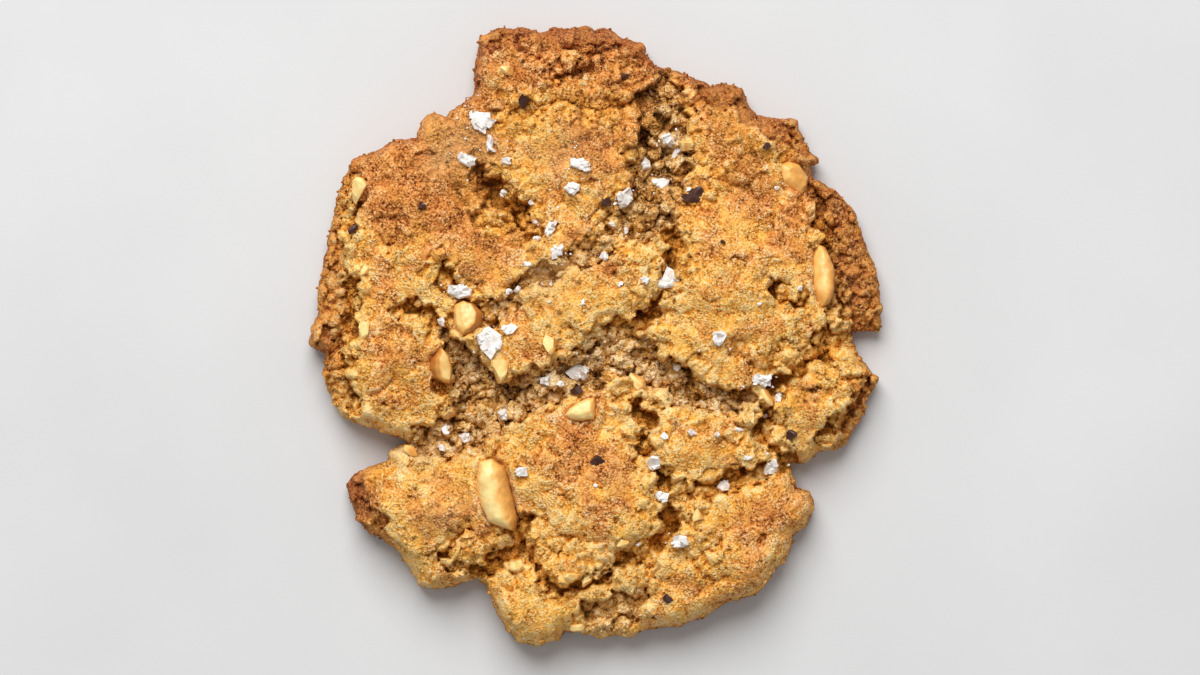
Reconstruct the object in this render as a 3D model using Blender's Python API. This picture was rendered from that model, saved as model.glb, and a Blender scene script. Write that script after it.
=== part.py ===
# A large peanut butter cookie, cracked into crust plates, with peanut halves pressed into it,
# chopped peanut, chocolate flecks and salt flakes baked onto it. Lengths are in millimetres
# until new_object() scales a finished mesh to metres. +Z is up and the underside is at Z = 0.

import math
import random

import bmesh
import bpy
import numpy as np
from mathutils import Matrix, Vector, noise

# Driving dimensions
COOKIE_LENGTH = 111.2
CENTRE_HEIGHT = 13.0
RIM_HEIGHT = 9.2
EDGE_HEIGHT = 3.0
EDGE_BAND = 0.8
RIM_ROUNDING = 3.1
UNDERSIDE_ROUNDING = 1.7
DOME_REACH = 42.0
FIT_GAP = 0.3

# Roughness of the baked surface
RIM_ROUNDING_CHANGE = 1.8
EDGE_JAG = 0.45
EDGE_JAG_LENGTH = 2.6
CRACK_WANDER = 0.8
CRACK_WANDER_LENGTH = 4.5
SWELL = 1.1
SWELL_LENGTH = 11.0
LUMP = 0.8
LUMP_LENGTH = 4.2
CLUMP = 1.2
CLUMP_LENGTH = 5.6
CLUMP_LEVEL = 0.36
CLUMP_ROUNDNESS = 1.6
SHOULDER_DROP = 1.7
SHOULDER_WIDTH = 4.5
SHOULDER_CHANGE = 0.9
SHOULDER_CHANGE_LENGTH = 9.0
SHOULDER_FULL_FROM = 3.6
SHOULDER_FADE = 3.0
CLOD = 2.4
CLOD_LENGTH = 3.0
CLOD_LEVEL = 0.42
CLOD_ROUNDNESS = 1.5
CLODS_FULL_FROM = 2.0
CLODS_ON_FOOT = 0.45
CRUMB_LUMP = 0.7
CRUMB_LUMP_LENGTH = 2.9

# Mesh fineness
GRID_STEP = 1.0
EDGE_STEP = 0.8
BORDER_PULL = 0.9
BODY_TRIANGLES = 8600
SHARP_FROM = 50.0
WELD = 0.01
LEVEL_BELOW = 0.06

# Places are (right, down) steps of a straight top view, in which the cookie is VIEW_LENGTH long
# about VIEW_CENTRE. place() makes them millimetres.
VIEW_LENGTH = 619.0
VIEW_CENTRE = (595.5, 336.0)

# The torn outer edge, clockwise from the top lobe
EDGE = (
    (480, 36), (500, 28), (522, 28), (540, 32), (555, 27), (572, 28), (590, 28), (610, 29), (622, 38),
    (644, 44), (646, 54), (656, 67), (680, 72), (700, 81), (712, 86), (725, 83), (741, 88), (750, 106),
    (757, 115), (780, 119), (797, 119), (799, 130), (810, 150), (822, 161), (811, 166), (812, 179),
    (826, 186), (843, 197), (855, 215), (864, 240), (876, 272), (883, 308), (880, 331), (853, 331),
    (852, 345), (862, 360), (874, 374), (879, 376), (872, 392), (860, 421), (845, 447), (836, 451),
    (820, 451), (806, 462), (791, 463), (795, 488), (810, 491), (814, 507), (806, 525), (795, 534),
    (788, 555), (770, 578), (757, 592), (722, 606), (700, 619), (675, 626), (650, 628), (632, 637),
    (616, 636), (600, 638), (585, 634), (565, 632), (557, 641), (540, 646), (518, 642), (500, 620),
    (492, 602), (487, 583), (476, 578), (460, 583), (445, 588), (420, 586), (400, 555), (395, 549),
    (381, 539), (366, 530), (352, 508), (346, 484), (360, 470), (388, 461), (389, 451), (408, 443),
    (392, 434), (362, 426), (342, 417), (332, 395), (324, 376), (326, 354), (310, 345), (311, 331),
    (318, 315), (318, 290), (328, 242), (334, 208), (343, 180), (352, 160), (380, 150), (393, 139),
    (416, 138), (420, 123), (432, 112), (446, 117), (458, 104), (472, 95), (477, 84), (473, 74),
    (477, 56),
)

# Swellings of the crust plates and raised knobs of dough: right, down, radius, height
PLATES = (
    (570, 72, 8, 1.4), (576, 150, 9, 1.6), (590, 195, 6, 1.0), (735, 262, 12, 1.8), (762, 308, 9, 1.3),
    (404, 205, 10, 1.8), (452, 250, 8, 1.4), (398, 366, 9, 1.9), (640, 262, 7, 1.2), (562, 322, 9, 1.5),
    (588, 478, 10, 1.9), (604, 530, 7, 1.2), (436, 518, 9, 1.6), (740, 570, 9, 1.8), (700, 442, 8, 1.5),
    (828, 392, 7, 1.3), (530, 605, 7, 1.5), (560, 560, 6, 1.0), (360, 270, 6, 0.9), (746, 160, 8, 1.1),
)
KNOBS = (
    (721, 106, 2.8, 1.5), (702, 122, 2.0, 0.9), (430, 128, 2.6, 0.9), (694, 508, 2.0, 1.1),
    (700, 528, 2.2, 1.1), (625, 536, 2.4, 1.2), (786, 400, 2.4, 1.0), (452, 278, 2.4, 0.9),
    (664, 110, 2.0, 1.4), (676, 128, 2.0, 1.2), (668, 200, 2.2, 1.3), (470, 420, 2.0, 1.2),
    (500, 440, 2.2, 1.0), (535, 400, 1.9, 1.1), (610, 362, 1.9, 1.1), (716, 405, 1.7, 1.0),
)

# Broad rifts with a crumbly floor: depth, then right, down, half width in millimetres
RIFTS = (
    (4.2, ((667, 86, 2.4), (667, 108, 4.4), (665, 145, 5.0), (665, 168, 5.2), (652, 195, 5.0),
           (636, 220, 4.4))),
    (4.6, ((448, 338, 1.6), (470, 372, 3.2), (486, 402, 5.0), (468, 432, 4.2), (424, 446, 2.8))),
    (4.4, ((498, 404, 4.2), (530, 392, 3.4), (560, 386, 3.0), (592, 362, 4.0), (620, 350, 4.0),
           (650, 368, 3.0), (680, 380, 2.8), (708, 397, 3.2), (744, 397, 1.6))),
    (2.4, ((618, 222, 2.6), (602, 246, 1.8), (576, 262, 1.8), (544, 270, 2.2), (520, 286, 1.6),
           (494, 318, 1.5))),
    (2.2, ((640, 592, 2.0), (620, 612, 3.0), (590, 612, 2.4))),
)

# Narrow cracks between and across the plates, written the same way
CRACKS = (
    (5.0, ((656, 224, 0.9), (674, 243, 1.2), (667, 263, 1.0), (660, 298, 1.1), (654, 316, 1.3),
           (622, 334, 1.2))),
    (5.6, ((477, 168, 1.0), (488, 187, 2.2), (502, 202, 2.4), (514, 214, 1.9), (524, 228, 1.3),
           (534, 242, 0.8))),
    (3.6, ((440, 252, 0.8), (443, 272, 0.9), (450, 287, 0.9), (478, 305, 1.0), (492, 323, 1.0))),
    (3.0, ((400, 310, 0.7), (416, 309, 0.8), (434, 322, 1.1))),
    (4.4, ((770, 383, 1.0), (786, 375, 0.9), (803, 364, 1.0), (821, 351, 1.9), (836, 336, 1.3),
           (872, 323, 1.1))),
    (4.2, ((773, 384, 0.8), (775, 400, 0.8), (762, 424, 1.4), (764, 440, 1.1), (780, 451, 0.9),
           (790, 461, 1.0))),
    (4.4, ((630, 402, 0.8), (648, 422, 0.8), (642, 442, 0.8), (655, 470, 0.9), (668, 503, 1.7),
           (668, 526, 1.9), (652, 556, 1.2), (620, 562, 0.9), (598, 577, 0.9), (572, 588, 0.8))),
    (3.4, ((672, 496, 0.9), (714, 490, 0.9), (738, 479, 0.9), (764, 470, 0.9), (788, 463, 1.0))),
    (4.6, ((530, 522, 0.9), (515, 546, 1.3), (498, 562, 1.9), (474, 566, 1.1))),
    (3.4, ((538, 556, 0.9), (545, 575, 0.9), (562, 592, 0.9))),
    (2.6, ((442, 556, 0.7), (452, 547, 0.7), (470, 532, 0.7))),
    (3.0, ((352, 176, 0.8), (354, 206, 0.8), (342, 250, 0.8), (352, 282, 0.9), (350, 330, 0.9),
           (352, 412, 0.8))),
    (3.6, ((812, 184, 0.9), (818, 222, 0.9), (833, 264, 0.9), (836, 298, 0.9), (848, 322, 1.0))),
    (3.0, ((862, 390, 0.8), (846, 411, 0.9), (826, 432, 0.9), (820, 446, 0.9))),
    (2.2, ((516, 42, 0.7), (538, 54, 0.8), (580, 50, 0.7), (604, 48, 0.7), (636, 64, 0.8))),
    (3.0, ((770, 288, 1.0), (778, 297, 1.0), (802, 302, 0.6))),
    (2.0, ((548, 76, 0.7), (566, 80, 0.8), (582, 84, 0.7), (584, 64, 0.6))),
    (1.4, ((512, 118, 1.4), (546, 106, 1.4), (590, 110, 1.4), (626, 104, 1.4))),
)

# Lower, darker stretches of the foot round the edge, written the same way
FOOT = (
    (2.8, ((338, 205, 1.6), (330, 255, 2.2), (332, 310, 3.0), (338, 360, 2.4), (342, 398, 1.8))),
    (3.2, ((822, 196, 1.8), (838, 222, 2.8), (852, 255, 3.2), (862, 300, 3.6), (866, 322, 2.6))),
    (2.6, ((868, 386, 1.8), (858, 412, 2.2), (842, 438, 2.0))),
    (1.8, ((486, 44, 1.6), (530, 38, 1.8), (580, 37, 1.8), (630, 46, 2.0), (652, 62, 1.4))),
    (2.6, ((706, 92, 1.8), (738, 98, 2.0), (772, 126, 2.2), (806, 152, 2.2))),
    (2.8, ((354, 488, 2.4), (364, 508, 2.4), (380, 532, 1.8))),
)

# The larger pockets where the dough tore open: right, down, length, width, degrees
# anticlockwise from +X, depth
TORN_POCKETS = (
    (641, 138, 5.4, 2.0, 85, 3.2), (655, 158, 3.4, 2.4, 0, 2.4), (775, 292, 3.8, 2.2, -60, 2.8),
    (822, 350, 3.2, 3.0, 0, 3.4), (698, 394, 7.4, 3.2, -10, 3.6), (738, 397, 4.6, 2.0, 0, 3.2),
    (760, 427, 4.4, 2.4, 80, 3.4), (823, 428, 4.2, 2.4, 60, 3.6), (668, 514, 6.6, 2.6, -82, 3.4),
    (497, 558, 4.8, 2.4, -8, 4.0), (527, 547, 4.6, 2.0, -65, 3.8), (614, 330, 4.6, 2.2, 15, 2.4),
    (620, 567, 4.2, 1.8, 20, 3.0), (644, 558, 3.8, 1.8, 35, 2.6), (518, 391, 4.0, 2.4, 10, 2.0),
    (486, 182, 4.6, 2.8, -50, 4.0), (500, 200, 5.6, 3.2, -50, 4.6), (515, 218, 5.0, 2.0, -58, 3.8),
)

# Peanut pieces large enough to lift out: name, thickness, height of the middle above the crust,
# rounded or chopped, the crown's line in the top view, and the outline there
PEANUTS = (
    ("peanut_half_lower_left", 4.8, 0.1, "rounded", ((493, 474), (503, 513)),
     ((482, 460), (494, 457), (507, 465), (511, 480), (514, 498), (519, 516), (517, 530), (505, 527),
      (490, 520), (481, 502), (477, 480))),
    ("peanut_half_right", 4.2, -0.2, "rounded", ((823, 260), (825, 290)),
     ((817, 243), (826, 245), (831, 257), (836, 274), (834, 290), (829, 304), (821, 308), (815, 296),
      (811, 278), (812, 258))),
    ("peanut_piece_upper_right", 3.6, -0.7, "chopped", ((790, 174), (800, 182)),
     ((780, 166), (790, 161), (800, 164), (810, 177), (809, 191), (802, 196), (792, 190), (781, 182))),
    ("peanut_piece_left_centre", 4.4, 0.2, "chopped", ((470, 308), (473, 328)),
     ((455, 306), (464, 301), (476, 304), (486, 314), (482, 325), (472, 334), (463, 336), (456, 326))),
    ("peanut_piece_left", 3.8, 0.1, "chopped", ((441, 354), (445, 374)),
     ((432, 358), (441, 347), (449, 355), (454, 366), (451, 384), (443, 382), (435, 377), (431, 368))),
    ("peanut_piece_centre", 3.2, 0.0, "chopped", ((578, 412), (590, 406)),
     ((565, 415), (571, 408), (580, 401), (590, 397), (596, 398), (597, 408), (595, 418), (584, 420),
      (573, 419))),
)

# How the two kinds of piece narrow: share of the outline, height in thicknesses
NUT_LEVELS = {
    "rounded": ((0.7, -0.5), (0.94, -0.34), (1.0, -0.12), (0.96, 0.04), (0.86, 0.18), (0.68, 0.33),
                (0.42, 0.45), (0.12, 0.5)),
    "chopped": ((0.75, -0.5), (1.0, -0.2), (0.98, 0.1), (0.84, 0.3), (0.45, 0.5)),
}

# Chopped peanut baked in: right, down, length, width, degrees anticlockwise from +X
PEANUT_CHIPS = (
    (501, 371, 5.0, 3.3, 70), (550, 345, 3.6, 2.7, 80), (638, 382, 4.6, 2.6, -60), (765, 396, 4.2, 2.6, -60),
    (362, 192, 5.0, 2.8, 80), (686, 146, 3.2, 2.8, 40), (366, 331, 3.8, 2.4, 80), (572, 574, 3.0, 2.2, 25),
    (588, 578, 3.4, 2.0, 60), (508, 71, 2.8, 1.8, -30), (578, 627, 2.8, 1.8, 10), (411, 452, 2.8, 2.0, -20),
    (366, 272, 2.2, 1.4, 60), (698, 514, 2.6, 2.2, 80), (420, 303, 2.2, 1.4, 20), (622, 541, 2.4, 1.6, 30),
)

# Chocolate flecks, written the same way
CHOCOLATE = (
    (692, 196, 4.6, 2.8, 10), (524, 103, 2.9, 2.2, 70), (606, 203, 2.0, 1.8, 0), (355, 230, 2.3, 2.1, 30),
    (791, 436, 2.5, 2.1, 80), (577, 391, 2.5, 1.8, 0), (597, 460, 2.2, 2.1, 45), (668, 597, 1.9, 1.7, 0),
)

# The larger salt flakes, written the same way
SALT = (
    (482, 124, 4.2, 3.4, 20), (492, 145, 2.8, 1.6, 80), (465, 160, 3.6, 2.8, -10), (580, 166, 3.8, 2.1, -25),
    (575, 189, 3.6, 2.6, 15), (624, 198, 3.2, 2.8, 30), (660, 186, 2.8, 2.1, -20), (668, 140, 2.8, 2.5, 60),
    (557, 252, 2.7, 2.5, 0), (551, 230, 3.0, 1.6, 80), (668, 281, 5.2, 3.4, 70), (491, 343, 5.0, 4.0, -60),
    (510, 330, 2.5, 2.1, 40), (461, 291, 4.2, 2.2, -10), (579, 372, 4.2, 2.8, 10), (546, 380, 2.2, 1.8, 0),
    (758, 380, 4.0, 2.2, -10), (718, 338, 3.2, 2.5, 80), (521, 470, 2.4, 2.2, 20), (465, 438, 2.2, 1.8, 0),
    (654, 461, 2.5, 2.2, 70), (660, 496, 2.4, 1.8, 10), (722, 486, 2.5, 2.2, 30), (769, 466, 3.4, 1.8, 35),
    (680, 540, 2.9, 2.8, 0), (605, 258, 1.9, 1.8, 20), (778, 398, 2.4, 1.2, 80), (505, 194, 2.1, 1.5, 10),
)

PEANUT_STEEPNESS = 0.4
PEANUT_REACH = 3.0
COLLAR_HEIGHT = 0.35
COLLAR_OUT = 0.9
COLLAR_WIDTH = 0.7
TOPPING_STEEPNESS = 0.7
TOPPING_LEAN = 0.7
TOPPING_SINK = 0.35
CHIP_THICKNESS = 0.65
SALT_THICKNESS = 0.9
FLECK_THICKNESS = 1.3

# Colours are linear red, green, blue
CRUST_COLOUR = (0.50, 0.25, 0.085)
PEANUT_COLOUR = (0.80, 0.53, 0.20)


def place(right, down):
    """Millimetres from the middle of the cookie for a place in the top view."""
    step = COOKIE_LENGTH / VIEW_LENGTH
    return np.array(((right - VIEW_CENTRE[0]) * step, (VIEW_CENTRE[1] - down) * step))


def ripple(points, length, shift):
    """Smooth noise from about -1 to 1 whose waves are as long as length."""
    return np.array([noise.noise(Vector((x / length, y / length, shift))) for x, y in points])


def lump_distance(points, length, shift):
    """Distance from each point to the middle of its lump of dough, in lump lengths."""
    places = [Vector((x / length, y / length, shift)) for x, y in points]
    return np.array([noise.voronoi(spot)[0][0] for spot in places])


def rough_edge():
    """The outer edge as a closed run of points, a short step apart and jagged."""
    corners = [place(*corner) for corner in EDGE]
    points = []
    for start, end in zip(corners, corners[1:] + corners[:1]):
        steps = max(1, round(float(np.linalg.norm(end - start)) / EDGE_STEP))
        points += [start + (end - start) * i / steps for i in range(steps)]
    points = np.array(points)
    out = points / np.linalg.norm(points, axis=1)[:, None]
    return points + out * (EDGE_JAG * ripple(points, EDGE_JAG_LENGTH, 3.7))[:, None]


def to_segment(points, start, end):
    """For each point, how far along the segment its nearest place is (0 to 1), and that place."""
    run = end - start
    along = np.clip((points - start) @ run / (run @ run), 0.0, 1.0)
    return along, start + along[:, None] * run


def nearest_on(edge, points):
    """The distance from each point to the closed edge, and the nearest place on it."""
    best = np.full(len(points), np.inf)
    spot = points.copy()
    for start, end in zip(edge, np.roll(edge, -1, axis=0)):
        _, near = to_segment(points, start, end)
        distance = np.linalg.norm(points - near, axis=1)
        closer = distance < best
        best[closer] = distance[closer]
        spot[closer] = near[closer]
    return best, spot


def inside(edge, points):
    """Whether each point lies inside the closed edge."""
    crossings = np.zeros(len(points), int)
    for (x0, y0), (x1, y1) in zip(edge, np.roll(edge, -1, axis=0)):
        if y0 == y1:
            continue
        spans = (points[:, 1] >= min(y0, y1)) & (points[:, 1] < max(y0, y1))
        crossing_x = x0 + (points[:, 1] - y0) * (x1 - x0) / (y1 - y0)
        crossings += spans & (points[:, 0] < crossing_x)
    return crossings % 2 == 1


def stroke_ratio(points, stroke):
    """Distance of each point from the stroke's middle line, in half widths, and from its side."""
    ratio = np.full(len(points), np.inf)
    beyond = np.full(len(points), np.inf)
    for (right0, down0, width0), (right1, down1, width1) in zip(stroke, stroke[1:]):
        along, near = to_segment(points, place(right0, down0), place(right1, down1))
        distance = np.linalg.norm(points - near, axis=1)
        width = width0 + along * (width1 - width0)
        ratio = np.minimum(ratio, distance / width)
        beyond = np.minimum(beyond, distance - width)
    return ratio, beyond


def ease(values, low, high):
    """Smooth step from 0 at low to 1 at high."""
    t = np.clip((values - low) / (high - low), 0.0, 1.0)
    return t * t * (3.0 - 2.0 * t)


def carved(points, strokes, floor, rim):
    """Deepest cut that these strokes make at each point, and the distance from their sides in shoulder
    widths. The wall runs from floor to rim, as ratios. A shallow stroke leaves a weaker shoulder."""
    depth = np.zeros(len(points))
    aside = np.full(len(points), np.inf)
    for stroke_depth, stroke in strokes:
        ratio, beyond = stroke_ratio(points, stroke)
        depth = np.maximum(depth, stroke_depth * (1.0 - ease(ratio, floor, rim)))
        weaker = max(0.0, SHOULDER_FULL_FROM - stroke_depth) / SHOULDER_FADE
        aside = np.minimum(aside, beyond / SHOULDER_WIDTH + weaker)
    return depth, aside


def humps(points, listed):
    """Round swellings, each with its radius and height."""
    total = np.zeros(len(points))
    for right, down, radius, height in listed:
        apart = np.linalg.norm(points - place(right, down), axis=1) / radius
        total += height * np.exp(-apart * apart)
    return total


def pocketed(points):
    """Depth of the torn pockets at each point."""
    depth = np.zeros(len(points))
    for right, down, length, width, degrees, deep in TORN_POCKETS:
        turn = math.radians(degrees)
        away = points - place(right, down)
        along = (away[:, 0] * math.cos(turn) + away[:, 1] * math.sin(turn)) / (length / 2)
        across = (away[:, 1] * math.cos(turn) - away[:, 0] * math.sin(turn)) / (width / 2)
        depth = np.maximum(depth, deep * (1.0 - ease(np.hypot(along, across), 0.6, 1.2)))
    return depth


def collars(points):
    """How far the dough rises round each peanut piece."""
    rise = np.zeros(len(points))
    for nut in PEANUTS:
        outline = np.array([place(*corner) for corner in nut[-1]])
        distance, _ = nearest_on(outline, points)
        distance[inside(outline, points)] = 0.0
        rise = np.maximum(rise, COLLAR_HEIGHT * np.exp(-(((distance - COLLAR_OUT) / COLLAR_WIDTH) ** 2)))
    return rise


def top_height(points, edge):
    """Height of the baked top over each point of the plan."""
    distance, _ = nearest_on(edge, points)
    shoulder = RIM_ROUNDING + RIM_ROUNDING_CHANGE * ripple(points, SWELL_LENGTH, 31.4)
    rounding = np.sqrt(1.0 - (1.0 - np.clip(distance / shoulder, 0.0, 1.0)) ** 2)
    doming = 1.0 - (1.0 - np.clip(distance / DOME_REACH, 0.0, 1.0)) ** 2
    crust = RIM_HEIGHT - EDGE_HEIGHT + (CENTRE_HEIGHT - RIM_HEIGHT) * doming
    crust += humps(points, PLATES) + humps(points, KNOBS)
    crust += SWELL * ripple(points, SWELL_LENGTH, 0.5) + LUMP * ripple(points, LUMP_LENGTH, 8.2)

    wander = np.stack([ripple(points, CRACK_WANDER_LENGTH, shift) for shift in (11.3, 17.9)], axis=1)
    strayed = points + CRACK_WANDER * wander
    rifts, rift_aside = carved(strayed, RIFTS, 0.7, 1.15)
    cracks, crack_aside = carved(strayed, CRACKS, 0.3, 1.5)
    foot, _ = carved(strayed, FOOT, 0.5, 1.5)
    rift = np.clip(rifts / 3.0, 0.0, 1.0)
    clods = CLOD * (CLOD_LEVEL - lump_distance(strayed, CLOD_LENGTH, 53.7) ** CLOD_ROUNDNESS)
    clods += CRUMB_LUMP * ripple(points, CRUMB_LUMP_LENGTH, 23.1)
    torn = np.maximum(rifts / CLODS_FULL_FROM, CLODS_ON_FOOT * foot / CLODS_FULL_FROM)
    crumbs = clods * np.clip(torn, 0.0, 1.0)
    crust += CLUMP * (CLUMP_LEVEL - lump_distance(strayed, CLUMP_LENGTH, 29.3) ** CLUMP_ROUNDNESS)
    inward = np.clip(np.minimum(rift_aside, crack_aside), 0.0, 1.0)
    sunk = SHOULDER_DROP * (1.0 - np.sqrt(1.0 - (1.0 - inward) ** 2)) * (1.0 - rift)
    crust -= sunk * (0.7 + SHOULDER_CHANGE * ripple(points, SHOULDER_CHANGE_LENGTH, 57.0))
    cut = np.maximum(np.maximum(rifts, cracks), pocketed(strayed)) + foot
    height = EDGE_HEIGHT + rounding * np.maximum(crust + crumbs - cut, 1.5)
    return height + collars(points) * rounding


def underside_height(points, edge):
    """Height of the underside: flat, and turned up to meet the top at the edge."""
    distance, _ = nearest_on(edge, points)
    inward = np.clip(distance / UNDERSIDE_ROUNDING, 0.0, 1.0)
    return (EDGE_HEIGHT - EDGE_BAND) * (1.0 - np.sqrt(1.0 - (1.0 - inward) ** 2))


def material(name, colour, roughness):
    made = bpy.data.materials.new(name)
    made.use_nodes = True
    shader = made.node_tree.nodes["Principled BSDF"]
    shader.inputs["Base Color"].default_value = (*colour, 1.0)
    shader.inputs["Roughness"].default_value = roughness
    shader.inputs["Metallic"].default_value = 0.0
    return made


def shade(mesh):
    mesh.shade_smooth()
    mesh.set_sharp_from_angle(angle=math.radians(SHARP_FROM))


def new_object(name, bm, collection, surface=None):
    """Links a finished bmesh, in millimetres, as an object in metres."""
    bmesh.ops.scale(bm, vec=(0.001, 0.001, 0.001), verts=bm.verts)
    mesh = bpy.data.meshes.new(name)
    bm.to_mesh(mesh)
    bm.free()
    shade(mesh)
    made = bpy.data.objects.new(name, mesh)
    collection.objects.link(made)
    if surface:
        mesh.materials.append(surface)
    return made


def new_collection(name):
    made = bpy.data.collections.new(name)
    bpy.context.scene.collection.children.link(made)
    return made


def drop_corner_contacts(bm):
    """Removes grid points where two stretches of faces touch at a corner only, and loose scraps."""
    while True:
        pinched = [v for v in bm.verts if sum(e.is_boundary for e in v.link_edges) > 2]
        loose = [v for v in bm.verts if not v.link_faces]
        if not pinched and not loose:
            return
        bmesh.ops.delete(bm, geom=pinched + loose, context="VERTS")


def body_sheet(edge):
    """A flat grid that fills the edge, its border drawn onto the edge."""
    bm = bmesh.new()
    reach = math.ceil(COOKIE_LENGTH / 2 + 2 * GRID_STEP)
    segments = round(2 * reach / GRID_STEP)
    bmesh.ops.create_grid(bm, x_segments=segments, y_segments=segments, size=reach)
    points = np.array([v.co.xy for v in bm.verts])
    kept = inside(edge, points)
    outside = [v for v, keep in zip(bm.verts, kept) if not keep]
    bmesh.ops.delete(bm, geom=outside, context="VERTS")
    drop_corner_contacts(bm)
    border = [v for v in bm.verts if v.is_boundary]
    plan = np.array([v.co.xy for v in border])
    _, spots = nearest_on(edge, plan)
    for vert, spot in zip(border, plan + BORDER_PULL * (spots - plan)):
        vert.co.xy = spot
    return bm


def cookie_body(edge, collection, surface):
    """The cookie without toppings: the sheet is extruded, then its two sides take their heights."""
    bm = body_sheet(edge)
    below = list(bm.verts)
    raised = bmesh.ops.extrude_face_region(bm, geom=bm.faces[:], use_keep_orig=True)
    top = [item for item in raised["geom"] if isinstance(item, bmesh.types.BMVert)]
    for verts, height in ((top, top_height), (below, underside_height)):
        plan = np.array([v.co.xy for v in verts])
        for vert, z in zip(verts, height(plan, edge)):
            vert.co.z = z
    bmesh.ops.triangulate(bm, faces=bm.faces)
    bmesh.ops.recalc_face_normals(bm, faces=bm.faces)
    ratio = BODY_TRIANGLES / len(bm.faces)
    body = new_object("cookie", bm, collection, surface)
    thinning = body.modifiers.new("thinning", "DECIMATE")
    thinning.ratio = ratio
    return body


def crust_at(right, down, edge, reach, steepness, lean=0.0):
    """The crust's height round a place in the top view, from its mean towards its highest, and a share
    of its slope as a tilt."""
    x, y = place(right, down)
    plan = np.array(((x, y), (x + reach, y), (x - reach, y), (x, y + reach), (x, y - reach)))
    z = top_height(plan, edge)
    normal = Vector((steepness * (z[2] - z[1]), steepness * (z[4] - z[3]), 2 * reach))
    tilt = Vector((0.0, 0.0, 1.0)).rotation_difference(normal).to_matrix().to_4x4()
    return Vector((x, y, z.mean() + lean * (z.max() - z.mean()))), tilt


def nut_form(thickness, kind, crown, outline):
    """Half a peanut or a chopped piece: the outline narrows towards the crown's line above and below."""
    bm = bmesh.new()
    start, end = place(*crown[0]), place(*crown[1])
    corners = np.array([place(*corner) for corner in outline])
    _, near = to_segment(corners, start, end)
    for share, level in NUT_LEVELS[kind]:
        for x, y in near + (corners - near) * share:
            bmesh.ops.create_vert(bm, co=(x, y, level * thickness))
    hull = bmesh.ops.convex_hull(bm, input=bm.verts)
    inner = set(hull["geom_interior"] + hull["geom_unused"])
    hidden = [item for item in inner if isinstance(item, bmesh.types.BMVert)]
    bmesh.ops.delete(bm, geom=hidden, context="VERTS")
    bmesh.ops.translate(bm, vec=(*-corners.mean(axis=0), 0.0), verts=bm.verts)
    return bm


def flake_form(length, width, thickness, seed):
    """A flat angular flake, such as a salt crystal."""
    rng = random.Random(seed)
    bm = bmesh.new()
    bmesh.ops.create_cone(bm, cap_ends=True, segments=6, radius1=1.0, radius2=0.8, depth=1.0)
    turns = [rng.uniform(0.78, 1.0) for _ in range(6)]
    for vert in bm.verts:
        side = round(math.atan2(vert.co.y, vert.co.x) / (math.pi / 3)) % 6
        vert.co.x *= turns[side] * length / 2
        vert.co.y *= turns[side] * width / 2
        vert.co.z *= thickness
    return bm


def settle(bm, spot, slope, degrees, lift):
    """Turns a form to its heading, lays it along the slope and moves it to the spot."""
    turn = Matrix.Rotation(math.radians(degrees), 4, "Z")
    up = slope @ Vector((0.0, 0.0, lift))
    bmesh.ops.transform(bm, matrix=Matrix.Translation(spot + up) @ slope @ turn, verts=bm.verts)


def grow(bm, gap):
    """Moves the surface out by the gap."""
    bm.normal_update()
    moves = [v.normal * v.calc_shell_factor() * gap for v in bm.verts]
    for vert, move in zip(bm.verts, moves):
        vert.co += move


def peanuts_and_pockets(edge, parts, cutters, surface):
    """Each large peanut piece as a solid of its own, and a slightly larger copy that cuts its pocket."""
    for name, thickness, lift, kind, crown, outline in PEANUTS:
        middle = np.array(outline).mean(axis=0)
        spot, slope = crust_at(*middle, edge, PEANUT_REACH, PEANUT_STEEPNESS)
        copies = ((0.0, name, parts), (FIT_GAP, "pocket_for_" + name, cutters))
        for gap, label, collection in copies:
            bm = nut_form(thickness, kind, crown, outline)
            settle(bm, spot, slope, 0.0, lift)
            if gap:
                grow(bm, gap)
            new_object(label, bm, collection, surface if not gap else None)


def baked_on_toppings(edge, toppings):
    """Chopped peanut, chocolate flecks and salt flakes, each sunk a little into the crust."""
    seed = 100
    flat = {"fleck": FLECK_THICKNESS, "flake": SALT_THICKNESS}
    for kind, listed in (("chip", PEANUT_CHIPS), ("fleck", CHOCOLATE), ("flake", SALT)):
        for right, down, length, width, degrees in listed:
            seed += 1
            spot, slope = crust_at(right, down, edge, width / 2, TOPPING_STEEPNESS, TOPPING_LEAN)
            thickness = CHIP_THICKNESS * width if kind == "chip" else flat[kind]
            bm = flake_form(length, width, thickness, seed)
            settle(bm, spot, slope, degrees, thickness * (0.5 - TOPPING_SINK))
            new_object(f"{kind}_{seed}", bm, toppings)


def apply_boolean(body, operation, collection):
    """Runs one Boolean of the body with all of a collection, and writes its result into the body's mesh."""
    cut = body.modifiers.new(operation.lower(), "BOOLEAN")
    cut.operation = operation
    cut.operand_type = "COLLECTION"
    cut.collection = collection
    cut.solver = "EXACT"
    bpy.context.view_layer.update()
    graph = bpy.context.evaluated_depsgraph_get()
    mesh = bpy.data.meshes.new_from_object(body.evaluated_get(graph))
    body.modifiers.clear()
    body.data = mesh


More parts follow.
